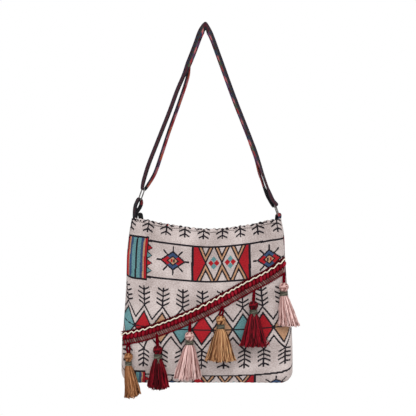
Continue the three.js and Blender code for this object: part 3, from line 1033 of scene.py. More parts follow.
    def panel(self, yarn: Array, s: Array, t: Array) -> None:
        """Draws the framed panel of crossed bands, red ends and clusters of small diamonds.

        Args:
            yarn: The yarns, which it changes.
            s: Places across.
            t: Places up.
        """
        inside = (s > self.panel_from) & (s < self.panel_to) & (t > self.band_foot)
        crossings = np.array(self.crossings)
        step = crossings[1] - crossings[0]
        number = np.clip(np.round((s - crossings[0]) / step), 0, len(crossings) - 1).astype(int)
        side = np.abs(s - crossings[number])
        up = t - self.crossing_height
        into = (np.abs(up) - self.crossing_slope * side) * self.crossing_cosine
        ends = inside & (into < 0) & ((s < crossings[0]) | (s > crossings[-1]))
        yarn[ends] = Yarn.RED
        middle = inside & (into < 0) & ~ends
        wide, tall = 6.1, 6.6
        for across, height, colour in ((0, tall, Yarn.TEAL), (wide, 0, Yarn.RED)):
            off = np.abs(np.abs(step / 2 - side) - across) / wide + np.abs(np.abs(up) - height) / tall
            yarn[middle & (off < 0.96)] = colour
        for deep, colour in ((8.1, Yarn.BLACK), (5, Yarn.TAN), (1.8, Yarn.BLACK)):
            yarn[inside & (into > -1.4) & (into < deep)] = colour
        for edge in (self.panel_from, self.panel_to):
            yarn[(np.abs(s - edge) < 2.5) & (t > self.band_foot)] = Yarn.BLACK

    def block(self, yarn: Array, s: Array, t: Array) -> None:
        """Draws the striped block that stands over both lines of the band, with its row of points.

        Args:
            yarn: The yarns, which it changes.
            s: Places across.
            t: Places up.
        """
        for height, colour in self.points:
            size = 1 - (s - self.block_edge) / self.point_long
            off = np.abs(t - height) / self.point_half
            right = s > self.block_edge
            yarn[right & (off < size * 1.45) & (size > -0.18)] = Yarn.BLACK
            yarn[right & (off < size * 1.1 - 0.22)] = colour
        up = np.where(t < self.repeat_up / 4, t + self.repeat_up, t)
        low, high = self.band_foot - self.block_over, self.repeat_up + self.block_over
        into = self.block_edge - s
        inside = (into > 0) & (into < self.block_wide) & (up > low) & (up < high)
        from_edge = np.minimum(into, self.block_wide - into)
        for reach, colour in reversed(self.stripes):
            yarn[inside & (from_edge < reach)] = colour
        yarn[inside & ((up < low + self.block_end) | (up > high - self.block_end))] = Yarn.BLACK


@dataclass
class ClothPanel:
    """One side of the body: figured cloth, turned over at the lip and doubled inside."""

    facing: Facing
    shape: BagShape
    chart: FolkChart
    cut_across: float = 0
    cut_up: float = 0
    columns: int = 276
    rows: int = 246
    hem_rows: int = 18
    hem_from: float = 0.97
    roll_rows: int = 8
    inner_rows: int = 20
    half_wide: float = 166.9
    tall: float = 301.5
    figure_lift: float = 0.16
    hem_swell: float = 0.8
    hem_depth: float = 5.2
    flat: tuple[float, float] = (0.345, 0.66)  # size that it was cut to, in metres
    turn_from: float = 0.95
    mark_pitch: float = 3.2
    lift_at: Row = (0.35, 0.62, 0.78, 0.91, 1)
    lift: Row = (0, 2, 4.6, 7, 4)
    drift_at: Row = (-0.85, -0.7, -0.5, -0.2, 0.05, 0.22, 0.45, 0.66, 0.93)
    drift: Row = (6, 5.5, 2.9, 1.5, 0, 4.2, 3.3, 0.3, 2.5)

    @property
    def name(self) -> str:
        """The panel's name."""
        return f"{self.facing.side}_panel"

    def across(self) -> Array:
        """Places across, closer together beside the seams where the cloth turns.

        Returns:
            The places, from -1 to 1.
        """
        cell = 2 / self.columns
        close = 1 - cell * 0.5 ** np.arange(1, 7)
        even = np.linspace(-1, 1, self.columns + 1)
        return np.sort(np.concatenate([even, close, -close]))

    def upward(self) -> Array:
        """Places up, closer together beside the bottom seam and in the hem.

        Returns:
            The places, from 0 to 1.
        """
        cell = self.hem_from / self.rows
        body = np.linspace(0, self.hem_from, self.rows + 1)
        hem = np.linspace(self.hem_from, 1, self.hem_rows + 1)[1:]
        return np.concatenate([body[:1], cell * 0.5 ** np.arange(4, 0, -1), body[1:], hem])

    def cloth_place(self, u: Array, v: Array) -> tuple[Array, Array]:
        """Finds which part of the cloth lies at places on the panel, with its turn into the side seams.

        Args:
            u: Places across the panel.
            v: Places up the panel.

        Returns:
            Places across and up on the cloth, in millimetres.
        """
        s, t = self.half_wide * u, (self.tall - 0.6 * self.shape.slump(u)) * v
        turned = self.shape.share(np.full_like(u, self.turn_from), v) - self.shape.share(u, v)
        s = s + np.sign(u) * self.shape.fullness(v) * np.maximum(0, turned)
        t = t - 0.5 * np.maximum(0, self.chart.first_line - t)
        if self.facing is Facing.FRONT:
            s, t = self.pulled(u, v, s, t)
        return s + self.cut_across, t + self.cut_up

    def pulled(self, u: Array, v: Array, s: Array, t: Array) -> tuple[Array, Array]:
        """Pulls the front's figure uneven: up at the lower right, and round the lower left side.

        Args:
            u: Places across the panel.
            v: Places up the panel.
            s: The same places across on the cloth.
            t: The same places up on the cloth.

        Returns:
            The moved places across and up on the cloth.
        """
        t = t - np.interp(u, self.lift_at, self.lift) * (1 - smoothstep(v, 0.06, 0.24))
        t = t + 2.6 * (1 - smoothstep(t, 16, 60)) * smoothstep(u, -0.7, -0.3)
        s = s - 6.5 * (1 - smoothstep(t, 18, 30))
        hanging_trees = smoothstep(t, 20, 30) * (1 - smoothstep(t, 62, 80))
        s = s - np.interp(u, self.drift_at, self.drift) * hanging_trees
        s = s + 4 * np.exp(-(((u - 0.62) / 0.18) ** 2)) * smoothstep(v, 0.88, 0.95)
        low = 1 - smoothstep(v, 0.45, 0.62)
        s = s - 13.5 * np.clip((-u - 0.62) / 0.38, 0, 1) ** 1.3 * low
        t = t - 7 * np.clip((-u - 0.68) / 0.32, 0, 1) ** 1.3 * low * smoothstep(v, 0.05, 0.3)
        return s, t

    def lip_marks(self, yarn: Array, u: Array, below: Array) -> None:
        """Marks the ends of the figure that the turned lip cuts off.

        Args:
            yarn: The yarns, which it changes.
            u: Places across.
            below: Distances under the lip, below zero where the cloth has turned over.
        """
        cell = np.floor(self.half_wide * u / self.mark_pitch)
        chance = np.mod(np.sin(cell * 12.9898) * 43758.5453, 1)
        rise = 2.4 * np.mod(np.sin(cell * 4.731) * 1731.7, 1) - 0.6
        mark = (chance > 0.58) & (np.abs(below - rise) < 1.15)
        yarn[mark] = np.where(chance > 0.996, Yarn.RED, Yarn.BLACK)[mark]

    def hem_line(self, u: Array) -> Array:
        """How far under the lip the hem's stitches lie."""
        return self.hem_depth + 0.5 * np.sin(9 * u + 1) + 0.3 * np.sin(23 * u)

    def relief(self, u: Array, v: Array, below: Array) -> Array:
        """Soft unevenness, small puckers beside the seams, and the swell of the hem over its stitches.

        Args:
            u: Places across.
            v: Places up.
            below: Distances under the lip.

        Returns:
            How far the cloth stands out.
        """
        broad = 0.35 * np.sin(5.1 * u + 2.2 * v + 0.6) * np.sin(6.3 * v - 2.4 * u)
        beside = np.exp(-((1 - np.abs(u)) / 0.035) ** 2) * np.sin(95 * v + 3 * np.sin(9 * v))
        under = np.exp(-((v / 0.03) ** 2)) * np.sin(88 * u + 2 * np.sin(7 * u))
        deep = self.hem_line(u)
        full = self.hem_swell * (1 + 0.3 * np.sin(31 * u) + 0.25 * np.sin(54 * u + 2))
        swell = full * (1 - smoothstep(below, deep - 2.2, deep))
        groove = 0.9 * np.exp(-(((below - deep) / 0.8) ** 2))
        return broad + 0.3 * beside + 0.3 * under + (swell - groove)

    def outside(self, u: Array, v: Array, yarn: Array) -> Array:
        """Points of the outer face, with its ripples, its hem and its raised figure.

        Args:
            u: Places across.
            v: Places up.
            yarn: The yarn of each cell between them.

        Returns:
            The points.
        """
        face = self.shape.point(self.facing, u, v)
        normal = unit(np.cross(np.gradient(face, axis=1), np.gradient(face, axis=0))) * -int(self.facing)
        figure = np.zeros(u.shape)
        figure[1:-1, 1:-1] = yarn[1:, 1:] + yarn[:-1, :-1] + yarn[1:, :-1] + yarn[:-1, 1:] > 0
        lift = self.relief(u, v, self.shape.lip(u) - face[..., 2]) + self.figure_lift * figure
        return face + normal * (lift * smoothstep(1 - np.abs(u), 0, 0.02))[..., None]

    def over_lip(self, outer: Array, inner: Array, u: Array) -> Array:
        """Points of the turn over the lip, which is bumpy.

        Args:
            outer: Upper edge of the outer face.
            inner: Upper edge of the inner face.
            u: Places across.

        Returns:
            The points, in rows from the outer edge to the inner one.
        """
        turn = np.linspace(0, np.pi, self.roll_rows + 2)[1:-1, None, None]
        middle, arm = (outer + inner) / 2, (outer - inner) / 2
        bumps = 0.9 + 0.45 * np.sin(71 * u + 1) + 0.35 * np.sin(113 * u + 2)
        rise = (np.linalg.norm(arm, axis=-1) * bumps)[:, None] * np.array([0, 0, 1])
        return middle + arm * np.cos(turn) + rise * np.sin(turn)

    def build(self) -> None:
        """Makes the panel as one sheet: up its face, over the lip and down its inside."""
        u, v = np.meshgrid(self.across(), self.upward())
        rows = len(v)
        turned = ((0, self.roll_rows), (0, 0))
        over = np.linspace(0.5, 4, self.roll_rows)[:, None]
        s, t = (np.pad(place, turned, "edge") for place in self.cloth_place(u, v))
        below = np.pad(self.shape.lip(u) - self.shape.point(self.facing, u, v)[..., 2], turned)
        t[rows:] += over
        below[rows:] = -over
        yarn = self.chart.paint(cell_middles(s), cell_middles(t))
        # The cells beside the seams run into the bag's depth, where a figure would be drawn out into a streak
        yarn[:rows - 1, [0, -1]] = Yarn.GROUND
        self.lip_marks(yarn, cell_middles(np.pad(u, turned, "edge")), below[1:, 1:])
        face = self.outside(u, v, yarn[:rows - 1])
        inner_u, inner_v = np.meshgrid(self.across(), np.linspace(1, 0, self.inner_rows + 1))
        inside = self.shape.point(self.facing, inner_u, inner_v, self.shape.seam, self.shape.wall)
        sheet = np.concatenate([face, self.over_lip(face[-1], inside[0], u[-1]), inside])
        s = np.pad(s, ((0, len(inside)), (0, 0)), "edge")
        t = np.vstack([t, t[rows - 1] + 5 + self.tall * (1 - inner_v)])
        yarn = np.pad(yarn, ((0, len(inside)), (0, 0)), constant_values=Yarn.GROUND)
        bundle = MeshBundle(f"{self.name}_cloth")
        bundle.add_sheet(sheet, np.stack([s, t], axis=-1), yarn, flip=self.facing is Facing.BACK)
        piece = bundle.build(CLOTH_YARNS, "cloth", [self.name])

    def stitch_hem(self) -> None:
        """Sews the row of stitches under the turned hem."""
        pitch, long, reach = 3.8, 2.6, 0.93
        count = int(2 * reach * self.half_wide / pitch)
        middle = np.linspace(-reach, reach, count)
        u = middle[:, None] + np.linspace(-0.5, 0.5, 5) * long / self.half_wide
        v = 1 - self.hem_line(u) / (self.shape.lip(u) - self.shape.base(u))
        line = self.shape.point(self.facing, u, v)
        line[..., 1] += int(self.facing) * (0.15 - 1.1 * np.abs(np.linspace(-1, 1, 5)) ** 3)
        bundle = MeshBundle(f"{self.name}_hem_stitches")
        bundle.add_threads(line, 0.34, sides=5, shade=np.linspace(0.3, 0.6, count), level=(0, 0, 1))
        bundle.build([SEWING_THREAD], "cloth")


SEWING_THREAD = LooseThread("sewing_thread", (38, 32, 34), (70, 60, 60), (104, 92, 90))
CHENILLE = LooseThread("chenille_pile", (42, 2, 8), (120, 14, 28), (184, 40, 60), 0.8, index=1.08)
LOOP = LooseThread("loop_thread", (26, 0, 4), (96, 4, 17), (152, 18, 36), 0.85, index=1.02)
GIMP = LooseThread("gimp", (44, 34, 32), (104, 92, 86), (148, 136, 128), 0.7)
CREAM = LooseThread("cream_cord", (172, 146, 122), (232, 218, 198), (250, 242, 228), 0.6)
SAGE = LooseThread("sage_tie", (34, 32, 27), (84, 83, 72), (126, 123, 108), 0.6)


def twisted(line: Array, plies: int, radius: float, lay: float, level: Sequence[float]) -> Array:
    """Winds plies round a line, as in a twisted cord.

    Args:
        line: Points at equal steps along the cord's middle.
        plies: Number of plies.
        radius: How far each ply's middle lies from the cord's.
        lay: Length of one turn.
        level: A direction that the cord doesn't run along.

    Returns:
        Points by ply and station.
    """
    along = unit(np.gradient(line, axis=0))
    across = unit(np.cross(np.asarray(level, float), along))
    over = np.cross(along, across)
    turn = (full_turn(plies)[:, None] + 2 * np.pi * travelled(line) / lay)[..., None]
    return line + radius * (across * np.cos(turn) + over * np.sin(turn))


@dataclass
class Braid:
    """The slanting braid: picots, cream cord and chenille over a ladder of gimp with a beaded edge."""

    shape: BagShape
    corners: Route = (
        (-160.6, -613.9), (-116.2, -603.1), (-66.7, -585.7), (-26, -568.8),
        (18.6, -546.7), (79.7, -513.1), (123, -490.8), (153, -470.8),
    )
    half_wide: float = 14
    split: float = -3
    tape_thick: float = 1.4
    cord_across: float = 8.2
    cord_wave: float = 12.4
    lead: float = 10
    chenille_pitch: float = 7.6
    rung_pitch: float = 2.1
    bead_pitch: float = 3.4
    route: Array = field(init=False)
    length: float = field(init=False)
    level: Array = field(init=False)

    def __post_init__(self) -> None:
        """Lays the braid's middle line, with a lead past each end for the slanting cut."""
        line = curve_through(np.array(self.corners))
        before = line[0] + self.lead * unit(line[0] - line[1])
        after = line[-1] + self.lead * unit(line[-1] - line[-2])
        self.route, whole = even_steps(np.vstack([before, line, after]), 420)
        self.length = whole - 2 * self.lead
        run = unit(self.route[-1] - self.route[0])
        self.level = np.array([run[0], 0, run[1]])

    def on(self, along: Array, across: Amount, height: Amount) -> Array:
        """Points on the braid.

        Args:
            along: Distances along it from its left end.
            across: Distances up from its middle line.
            height: Heights over the cloth.

        Returns:
            The points.
        """
        along, across, height = np.broadcast_arrays(along, across, height)
        places = np.linspace(-self.lead, self.length + self.lead, len(self.route))
        way = unit(np.gradient(self.route, axis=0))
        cut = np.exp(-((np.minimum(along, self.length - along) / self.half_wide) ** 2))
        along = along + across * cut * np.interp(along, places, way[:, 1] / way[:, 0])
        x, z = (np.interp(along, places, self.route[:, k]) for k in (0, 1))
        run, rise = (np.interp(along, places, way[:, k]) for k in (0, 1))
        return self.shape.over_front(x - rise * across, z + run * across, height)

    def steps(self, step: float) -> Array:
        """Distances along the braid, at about the step asked for."""
        return np.linspace(0, self.length, int(self.length / step) + 1)

    def tape(self, upper: float, lower: float) -> Array:
        """Rings of points of a backing tape between two distances across.

        Args:
            upper: Its upper edge.
            lower: Its lower edge.

        Returns:
            The rings, as one band.
        """
        across = np.concatenate([[upper], np.linspace(upper - 0.3, lower + 0.3, 9), [lower]])
        height = np.concatenate([[0.1], np.full(9, self.tape_thick), [0.1]])
        return self.on(self.steps(2)[:, None], across, height)[None]

    def coil(self, middle: float, half: float, pitch: float, height: float, rise: float) -> Array:
        """Line of a thread that coils along the braid.

        Args:
            middle: Distance across of the coil's middle.
            half: Half of its width.
            pitch: Length of one turn.
            height: Height of its middle over the cloth.
            rise: Half of its height.

        Returns:
            The line, as one thread.
        """
        along = self.steps(pitch / 12)
        turn = 2 * np.pi * along / pitch + 0.5 * np.sin(along / 17)
        return self.on(along, middle + half * np.cos(turn), height + rise * np.sin(turn))[None]

    def fuzz(self, line: Array, count: int, long: float, rng: np.random.Generator) -> Array:
        """Short fibres that stand out from a thread.

        Args:
            line: The thread's points.
            count: Number of fibres.
            long: Their length.
            rng: Source of chance.

        Returns:
            The fibres' lines.
        """
        root = line[0][rng.integers(0, line.shape[1], count)]
        way = unit(rng.normal(size=(count, 3)) + np.array([0, -0.9, 0]))
        reach = long * rng.uniform(0.6, 1.3, (count, 1))
        bend = rng.normal(0, 0.25, (count, 3))
        return np.stack([root + way * reach * share + bend * share ** 2 for share in (0.3, 0.65, 1)], axis=1)

    def build(self) -> None:
        """Makes the braid's three pieces."""
        self.build_chenille()
        self.build_heading()
        self.build_cord()

    def build_chenille(self) -> None:
        """Makes the maroon upper half: its tape, lumps of chenille, picots and frayed end, with painted shade
        on the tape and under the cord.
        """
        rng = np.random.default_rng(7)
        bundle = MeshBundle("braid_chenille")
        # The tape's dark shade is painted shade, standing for the shade in the gaps between the lumps of
        # chenille
        bundle.add_bands(self.tape(self.half_wide - 1, self.split), shade=0.18)
        share = np.linspace(-1, 1, 9)
        along = np.arange(self.chenille_pitch / 2, self.length, self.chenille_pitch)[:, None]
        uneven = np.sin(1.7 * along)
        along = along + 0.9 * uneven + (2.6 + 0.8 * uneven) * share
        lumps = self.on(along, 1.4 + 0.5 * np.sin(0.9 * along) + 4.3 * share, 2 + 0.9 * (1 - share ** 2))
        swell = 3.1 * np.sqrt(1.02 - share ** 2) * rng.uniform(0.9, 1.08, (len(lumps), 1))
        tone = rng.uniform(0.34, 0.66, len(lumps))
        bundle.add_threads(lumps, swell, sides=10, shade=tone, level=self.level)
        picots = self.coil(self.half_wide - 1.7, 1.3, 3.7, 1.6, 0.7)
        bundle.add_threads(picots, 0.75, sides=6, shade=0.16, level=self.level)
        # This dark coil is painted shadow: it stands for the shade that falls under the cream cord
        edge = self.coil(self.cord_across + 0.4, 1.9, 2.9, 1.7, 0.4)
        bundle.add_threads(edge, 0.7, sides=6, shade=0, level=self.level)
        pile = lumps[:, 1:-1].reshape(1, -1, 3)
        for line, count, long in ((pile, 3600, 3.1), (picots, 900, 1.6)):
            hairs = self.fuzz(line, count, long, rng)
            tone = rng.uniform(0, 1, count) ** 1.3 * 0.75
            taper = np.array([0.22, 0.19, 0.09])
            bundle.add_threads(hairs, taper, sides=3, shade=tone, level=(0.3, 0.2, 0.9))
        frayed = self.on(1.5 + np.zeros((9, 1)), rng.uniform(5, 13, (9, 1)), 1.6 + np.zeros((9, 5)))
        frayed = frayed + np.linspace(0, 1, 5)[:, None] * rng.uniform((-6, -1.5, -2), (-2, 0, 3), (9, 1, 3))
        bundle.add_threads(frayed, 0.3, sides=4, shade=rng.uniform(0.3, 0.8, 9), level=(0, 1, 0.2))
        bundle.build([CHENILLE], "chenille", ["trim_chenille"])

    def build_heading(self) -> None:
        """Makes the grey lower half: rungs of gimp and maroon thread, and the beaded edge."""
        rng = np.random.default_rng(11)
        bundle = MeshBundle("braid_heading")
        bundle.add_bands(self.tape(self.split, 1.2 - self.half_wide), finish=1, shade=0)
        share = np.linspace(0, 1, 7)
        places = self.steps(self.rung_pitch)[1:-1]
        for first in (0, 1):
            along = places[first::2, None] + 2 * (share - 0.5)
            across = self.split - 0.3 - 8 * share
            rungs = self.on(along, across, 1.5 + 0.8 * np.sin(np.pi * share))
            tone = rng.uniform(0.3, 0.8, len(rungs)) * (1 - 0.3 * first)
            bundle.add_threads(rungs, 1.15 - 0.2 * first, sides=6, finish=first, shade=tone)
        rail = self.coil(self.split - 0.8, 0.5, 2.9, 2.2, 0.4)
        bundle.add_threads(rail, 0.7, sides=6, finish=1, shade=0.12, level=self.level)
        beads = self.coil(1.3 - self.half_wide, 1.1, self.bead_pitch, 1.7, 0.7)
        bundle.add_threads(beads, 0.9, sides=6, finish=1, shade=0.34, level=self.level)
        bundle.build([GIMP, CHENILLE], "heading", ["trim_heading"])

    def build_cord(self) -> None:
        """Makes the cream cord, caught down in long slanting waves of uneven length."""
        along = self.steps(0.5)
        uneven = 0.16 * np.sin(along / 19) + 0.1 * np.sin(along / 8.3 + 2)
        share = np.mod(along / self.cord_wave + uneven, 1)
        wave = smoothstep(share, 0, 0.76) - smoothstep(share, 0.78, 1)
        wide = 2.3 + 0.8 * np.sin(along / 27 + 1)
        middle = self.on(along, self.cord_across + wide * (wave - 0.5), 3.7 + 0.3 * np.cos(2 * np.pi * share))
        bundle = MeshBundle("braid_cord")
        plies = twisted(middle, 2, 0.58, 5.3, (0, 1, 0))
        bundle.add_threads(plies, 0.72, sides=7, shade=np.array([0.66, 0.4]))
        bundle.build([CREAM], "cord", ["trim_cord"])


class TasselDye(Enum):
    """The dyes of the tassels' thread, each with the record's slot."""

    BROWN = ("tassel_brown", LooseThread("brown_silk", (54, 24, 10), (132, 83, 50), (186, 134, 94)))
    MAROON = ("tassel_maroon", LooseThread("maroon_silk", (6, 0, 1), (62, 0, 7), (148, 18, 36)))
    PINK = ("tassel_pink", LooseThread("pink_silk", (84, 36, 32), (172, 129, 123), (240, 206, 201)))
    GOLD = ("tassel_gold", LooseThread("gold_silk", (38, 12, 5), (146, 95, 62), (218, 172, 124)))


@dataclass
class Tassel:
    """A tassel that hangs from the braid and leans on the bag: loop, knotted head, tie and skirt."""

    number: int
    dye: TasselDye
    loop_x: float
    loop_top: float
    head_x: float
    head_z: float
    hem_x: float
    hem_z: float
    hem_half: float
    hem_round: float
    shape: BagShape
    stray: int = 0
    lobes: float = 0.06
    twist: float = 1.5
    strands: int = 400
    hem_tilt: float = 0
    loop_open: float = 1.3
    locks: int = 12
    head_threads: int = 46
    tie_turns: int = 6
    head_radius: float = 7.8
    head_tall: float = 7.4
    neck_radius: float = 5.2
    tie_radius: float = 6.8
    tie_below: float = 9.5
    tie_pitch: float = 1.3
    knot_below: float = 19
    neck_above: float = 8.6
    neck_below: float = 17.4
    skirt_depth: float = 0.62
    skin_gap: float = 0.8
    down_rows: Row = (0, 0.12, 0.4, 0.72, 1)
    spread_rows: Row = (0.1, 0.31, 0.57, 0.82, 1)
    head_rows: tuple[tuple[float, float], ...] = (
        (-1.2, 0.66), (-0.96, 0.72), (-0.7, 0.86), (-0.35, 0.97), (0, 1),
        (0.4, 0.94), (0.72, 0.78), (0.95, 0.5), (1, 0.3), (0.8, 0.12),
    )
    start: float = field(init=False)
    slope: float = field(init=False)

    def __post_init__(self) -> None:
        """Leans the tassel on the cloth, clear of it all the way down."""
        self.start = self.room(self.head_z, self.head_radius, self.head_radius)
        needs = []
        for below in (0.7 * self.head_tall, self.neck_above, self.neck_below):
            half = self.tie_radius if below > self.head_tall else 0.84 * self.head_radius
            needs.append((self.room(self.head_z - below, half, half) - self.start) / below)
        for down in self.down_rows[1:]:
            half, depth = (float(size) for size in self.skirt(np.array(down)))
            z = between(self.neck_foot, self.hem_z, down)
            needs.append((self.room(z, half, depth) - self.start) / (self.head_z - z))
        self.slope = max(needs)

    @property
    def name(self) -> str:
        """The tassel's name."""
        return f"tassel_{self.number}"

    @property
    def neck_foot(self) -> float:
        """Height where the skirt begins."""
        return self.head_z - self.neck_below

    @property
    def rng(self) -> np.random.Generator:
        """The tassel's own source of chance."""
        return np.random.default_rng(self.number)

    def middle_x(self, z: Amount) -> Array:
        """Place across of the tassel's middle at heights."""
        share = np.maximum(0, (self.neck_foot - np.asarray(z, float)) / (self.neck_foot - self.hem_z))
        return between(self.head_x, self.hem_x, share)

    def middle_y(self, z: Amount) -> Array:
        """Depth of the tassel's middle at heights."""
        return -self.start - self.slope * np.maximum(0, self.head_z - np.asarray(z, float))

    def around(self, z: Array, y: Array, half: Array, depth: Array, angle: Array) -> Array:
        """Points round the tassel's middle, which lies at y: half to its sides and depth to its front."""
        return xyz(self.middle_x(z) + half * np.cos(angle), y + depth * np.sin(angle), z)

    def room(self, z: float, half: float, depth: float) -> float:
        """How far out the middle has to be for a section to clear the cloth.

        Args:
            z: The section's height.
            half: Its half width.
            depth: Its half depth.

        Returns:
            The distance.
        """
        side = np.array([-0.9, -0.6, -0.3, 0, 0.3, 0.6, 0.9])
        under = self.shape.front_depth(self.middle_x(z) + side * half, np.full(len(side), z))
        return float(np.max(under + depth * np.sqrt(1 - side ** 2)) + self.skin_gap)

    def skirt(self, down: Array) -> tuple[Array, Array]:
        """Half width and half depth of the skirt, at shares of its length.

        Args:
            down: Shares from 0 at the neck to 1 at the hem.

        Returns:
            The half widths and the half depths.
        """
        spread = np.interp(down, self.down_rows, self.spread_rows)
        half = between(self.neck_radius, self.hem_half, spread)
        return half, half * between(1, self.skirt_depth, spread)

    def build(self) -> None:
        """Makes the tassel, its tie and its loop."""
        slot, finish = self.dye.value
        bundle = MeshBundle(f"{self.name}_threads")
        self.add_head(bundle)
        self.add_skirt(bundle)
        bundle.build([finish], slot, [self.name])
        self.build_tie()
        self.build_loop()

    def add_head(self, bundle: MeshBundle) -> None:
        """Lays the head's threads, turned a little as they go over a dark inner shell of painted shade, and
        three wraps over them.

        Args:
            bundle: The mesh to add to.
        """
        rng, count = self.rng, self.head_threads
        rise, size = np.array(self.head_rows).T
        z, y = self.head_z + rise * self.head_tall, self.middle_y(self.head_z)
        onward = self.twist * np.linspace(0, 1, len(rise))
        turn = full_turn(count)[:, None] + onward
        lobes = 1 + self.lobes * np.cos(2 * turn) * (rise > -0.5)
        ply = 1 + 0.045 * np.cos(7 * turn - 9 * onward)
        radius = self.head_radius * size * lobes * ply + rng.normal(0, 0.12, (count, 1))
        lines = self.around(z, y, radius, radius, turn)
        shade = 0.5 + 0.25 * np.sin(5 * turn[:, 0] + 1) + rng.normal(0, 0.16, count)
        bundle.add_threads(lines, 0.8, sides=5, shade=shade, level=(0.31, 0.95, 0))
        share = np.linspace(-1, 1, 13)
        for lean, lift, tone in ((0.75, 0.2, 0.8), (0.6, -0.25, 0.3), (-0.7, 0.05, 0.65)):
            up = lift + 0.55 * lean * share
            wrap = self.head_radius * np.sqrt(1 - (0.85 * up) ** 2) + 0.75 * (1 - share ** 2) - 0.3
            line = self.around(self.head_z + up * self.head_tall, y, wrap, wrap, 1.75 * share - np.pi / 2)
            bundle.add_threads(line[None], 1.05, sides=7, shade=tone, level=(0, 0.2, 1))
        # A dark inner shell under the threads: its darkness is painted shade for the inside of the head
        inner = 0.93 * self.head_radius * size[:, None]
        shaded_core = self.around(z[:, None], y, inner, inner, full_turn(16))
        bundle.add_bands(shaded_core[None], shade=0.12)

    def add_skirt(self, bundle: MeshBundle) -> None:
        """Hangs the skirt's threads in locks round a dark inner shell of painted shade, with a ragged hem.

        Args:
            bundle: The mesh to add to.
        """
        rng, count = self.rng, self.strands
        turn = rng.uniform(0, 2 * np.pi, (count, 1))
        lock = turn + 0.5 * np.sin(self.locks * turn) / self.locks
        outer = rng.random((count, 1)) < 0.68
        out = np.where(outer, rng.uniform(0.88, 1, (count, 1)), 0.86 * np.sqrt(rng.random((count, 1))))
        ridge = np.cos(self.locks * turn)
        side = out * np.cos(lock)
        long = 0.99 + 0.02 * ridge + rng.normal(0, 0.016, (count, 1)) - 0.05 * (1 - out)
        long = long - self.hem_round * side ** 2 - self.hem_tilt * side
        share = np.linspace(-0.1, 1, 15)
        down = np.where(share < 0, share, share * long)
        low = np.maximum(down, 0)
        half, depth = self.skirt(low)
        z = between(self.neck_foot, self.hem_z, down)
        out = out * (1 + 0.075 * ridge * low) * np.where(down < 0, 0.8, 1)
        waves = 2 * np.pi * rng.uniform(0.6, 2.4, (count, 1))
        sway = low ** 1.1 * np.sin(waves * down + 6 * turn)
        lines = self.around(z, self.middle_y(z), out * half, out * depth, lock)
        lines += xyz(1.2 * sway, -0.4 * sway, 0)
        lines[..., 0] += np.maximum(0, down - 0.86) * rng.normal(0, 14, (count, 1))
        bend = np.linspace(0, 1, 5) ** 1.5
        for k in range(self.stray):
            strand = lines[np.argsort(lines[:, -1, 0])[-1 - 9 * k], -5:]
            strand[:, 0] += bend * (5 + 2.6 * k)
            strand[:, 2] += bend * (1 + 2 * k)
        # Besides each strand's random tone: a painted highlight on the ridges of the locks, and painted shade
        # in their gaps and deeper inside the bundle
        shade = 0.48 + 0.26 * ridge[:, 0] + rng.normal(0, 0.29, count)
        shade = shade - 0.6 * (0.9 - np.minimum(out[:, -1], 0.9))
        bundle.add_threads(lines, rng.uniform(0.46, 0.72, (count, 1)), sides=4, shade=shade)
        # A dark inner shell inside the skirt: its darkness is painted shade for the inside of the bundle
        down = np.linspace(-0.12, 0.86, 8)[:, None]
        half, depth = (0.78 * size for size in self.skirt(np.maximum(down, 0)))
        z = between(self.neck_foot, self.hem_z, down)
        shaded_core = self.around(z, self.middle_y(z), half, depth, full_turn(14))
        bundle.add_bands(shaded_core[None, ::-1], shade=0.08)

    def build_tie(self) -> None:
        """Winds the tie round the neck, with two slanting turns and, on maroon tassels, a knot."""
        rng, turns = self.rng, self.tie_turns
        turn = full_turn(32)
        slip = rng.normal(0, 0.5, (turns, 1)) * np.cos(turn + rng.uniform(0, 6, (turns, 1)))
        z = self.head_z - self.tie_below - self.tie_pitch * np.arange(turns)[:, None] + slip
        radius = self.tie_radius + rng.uniform(-0.3, 0.4, (turns, 1)) + 0.2 * np.sin(3 * turn)
        wound = self.around(z, self.middle_y(z), radius, radius, turn)
        tones = rng.uniform(0.1, 0.75, turns)
        bundle = MeshBundle(f"{self.name}_tie_thread")
        bundle.add_threads(wound, 0.95, sides=6, shade=tones, level=(0, 0, 1), closed=True)
        slanted, radius = np.linspace(-1, 1, 9), self.tie_radius + 0.9
        for lean, tone in ((1, 0.75), (-0.6, 0.3)):
            z = self.head_z - 13 + 2.6 * lean * slanted
            angle = -np.pi / 2 + 0.9 * slanted + 0.2 * lean
            line = self.around(z, self.middle_y(z), radius, radius, angle)
            bundle.add_threads(line[None], 0.7, sides=6, shade=tone, level=(0, 0, 1))
        if self.dye is TasselDye.MAROON:
            self.add_knot(bundle)
        bundle.build([SAGE], "tie", [f"{self.name}_tie"])

    def add_knot(self, bundle: MeshBundle) -> None:
        """Ties the tie's two ends in front, below its windings.

        Args:
            bundle: The mesh to add to.
        """
        z = self.head_z - self.knot_below
        seat = xyz(self.middle_x(z) + 1.5, self.middle_y(z) - 8.4, z)
        turn = full_turn(40)
        across = 0.9 * (np.sin(turn) + 1.2 * np.sin(2 * turn))
        up = np.cos(turn) - 1.2 * np.cos(2 * turn)
        ball = seat + xyz(across, 0.7 * np.sin(3 * turn), up)
        bundle.add_threads(ball[None], 0.75, sides=6, shade=0.65, level=(0.2, 1, 0.1), closed=True)
        share = np.linspace(0, 1, 7)
        for side in (-1, 1):
            tail = seat + xyz(side * 1.8 * share, -0.6 * share, -7 * share)
            bundle.add_threads(tail[None], 0.6, sides=6, shade=0.55)

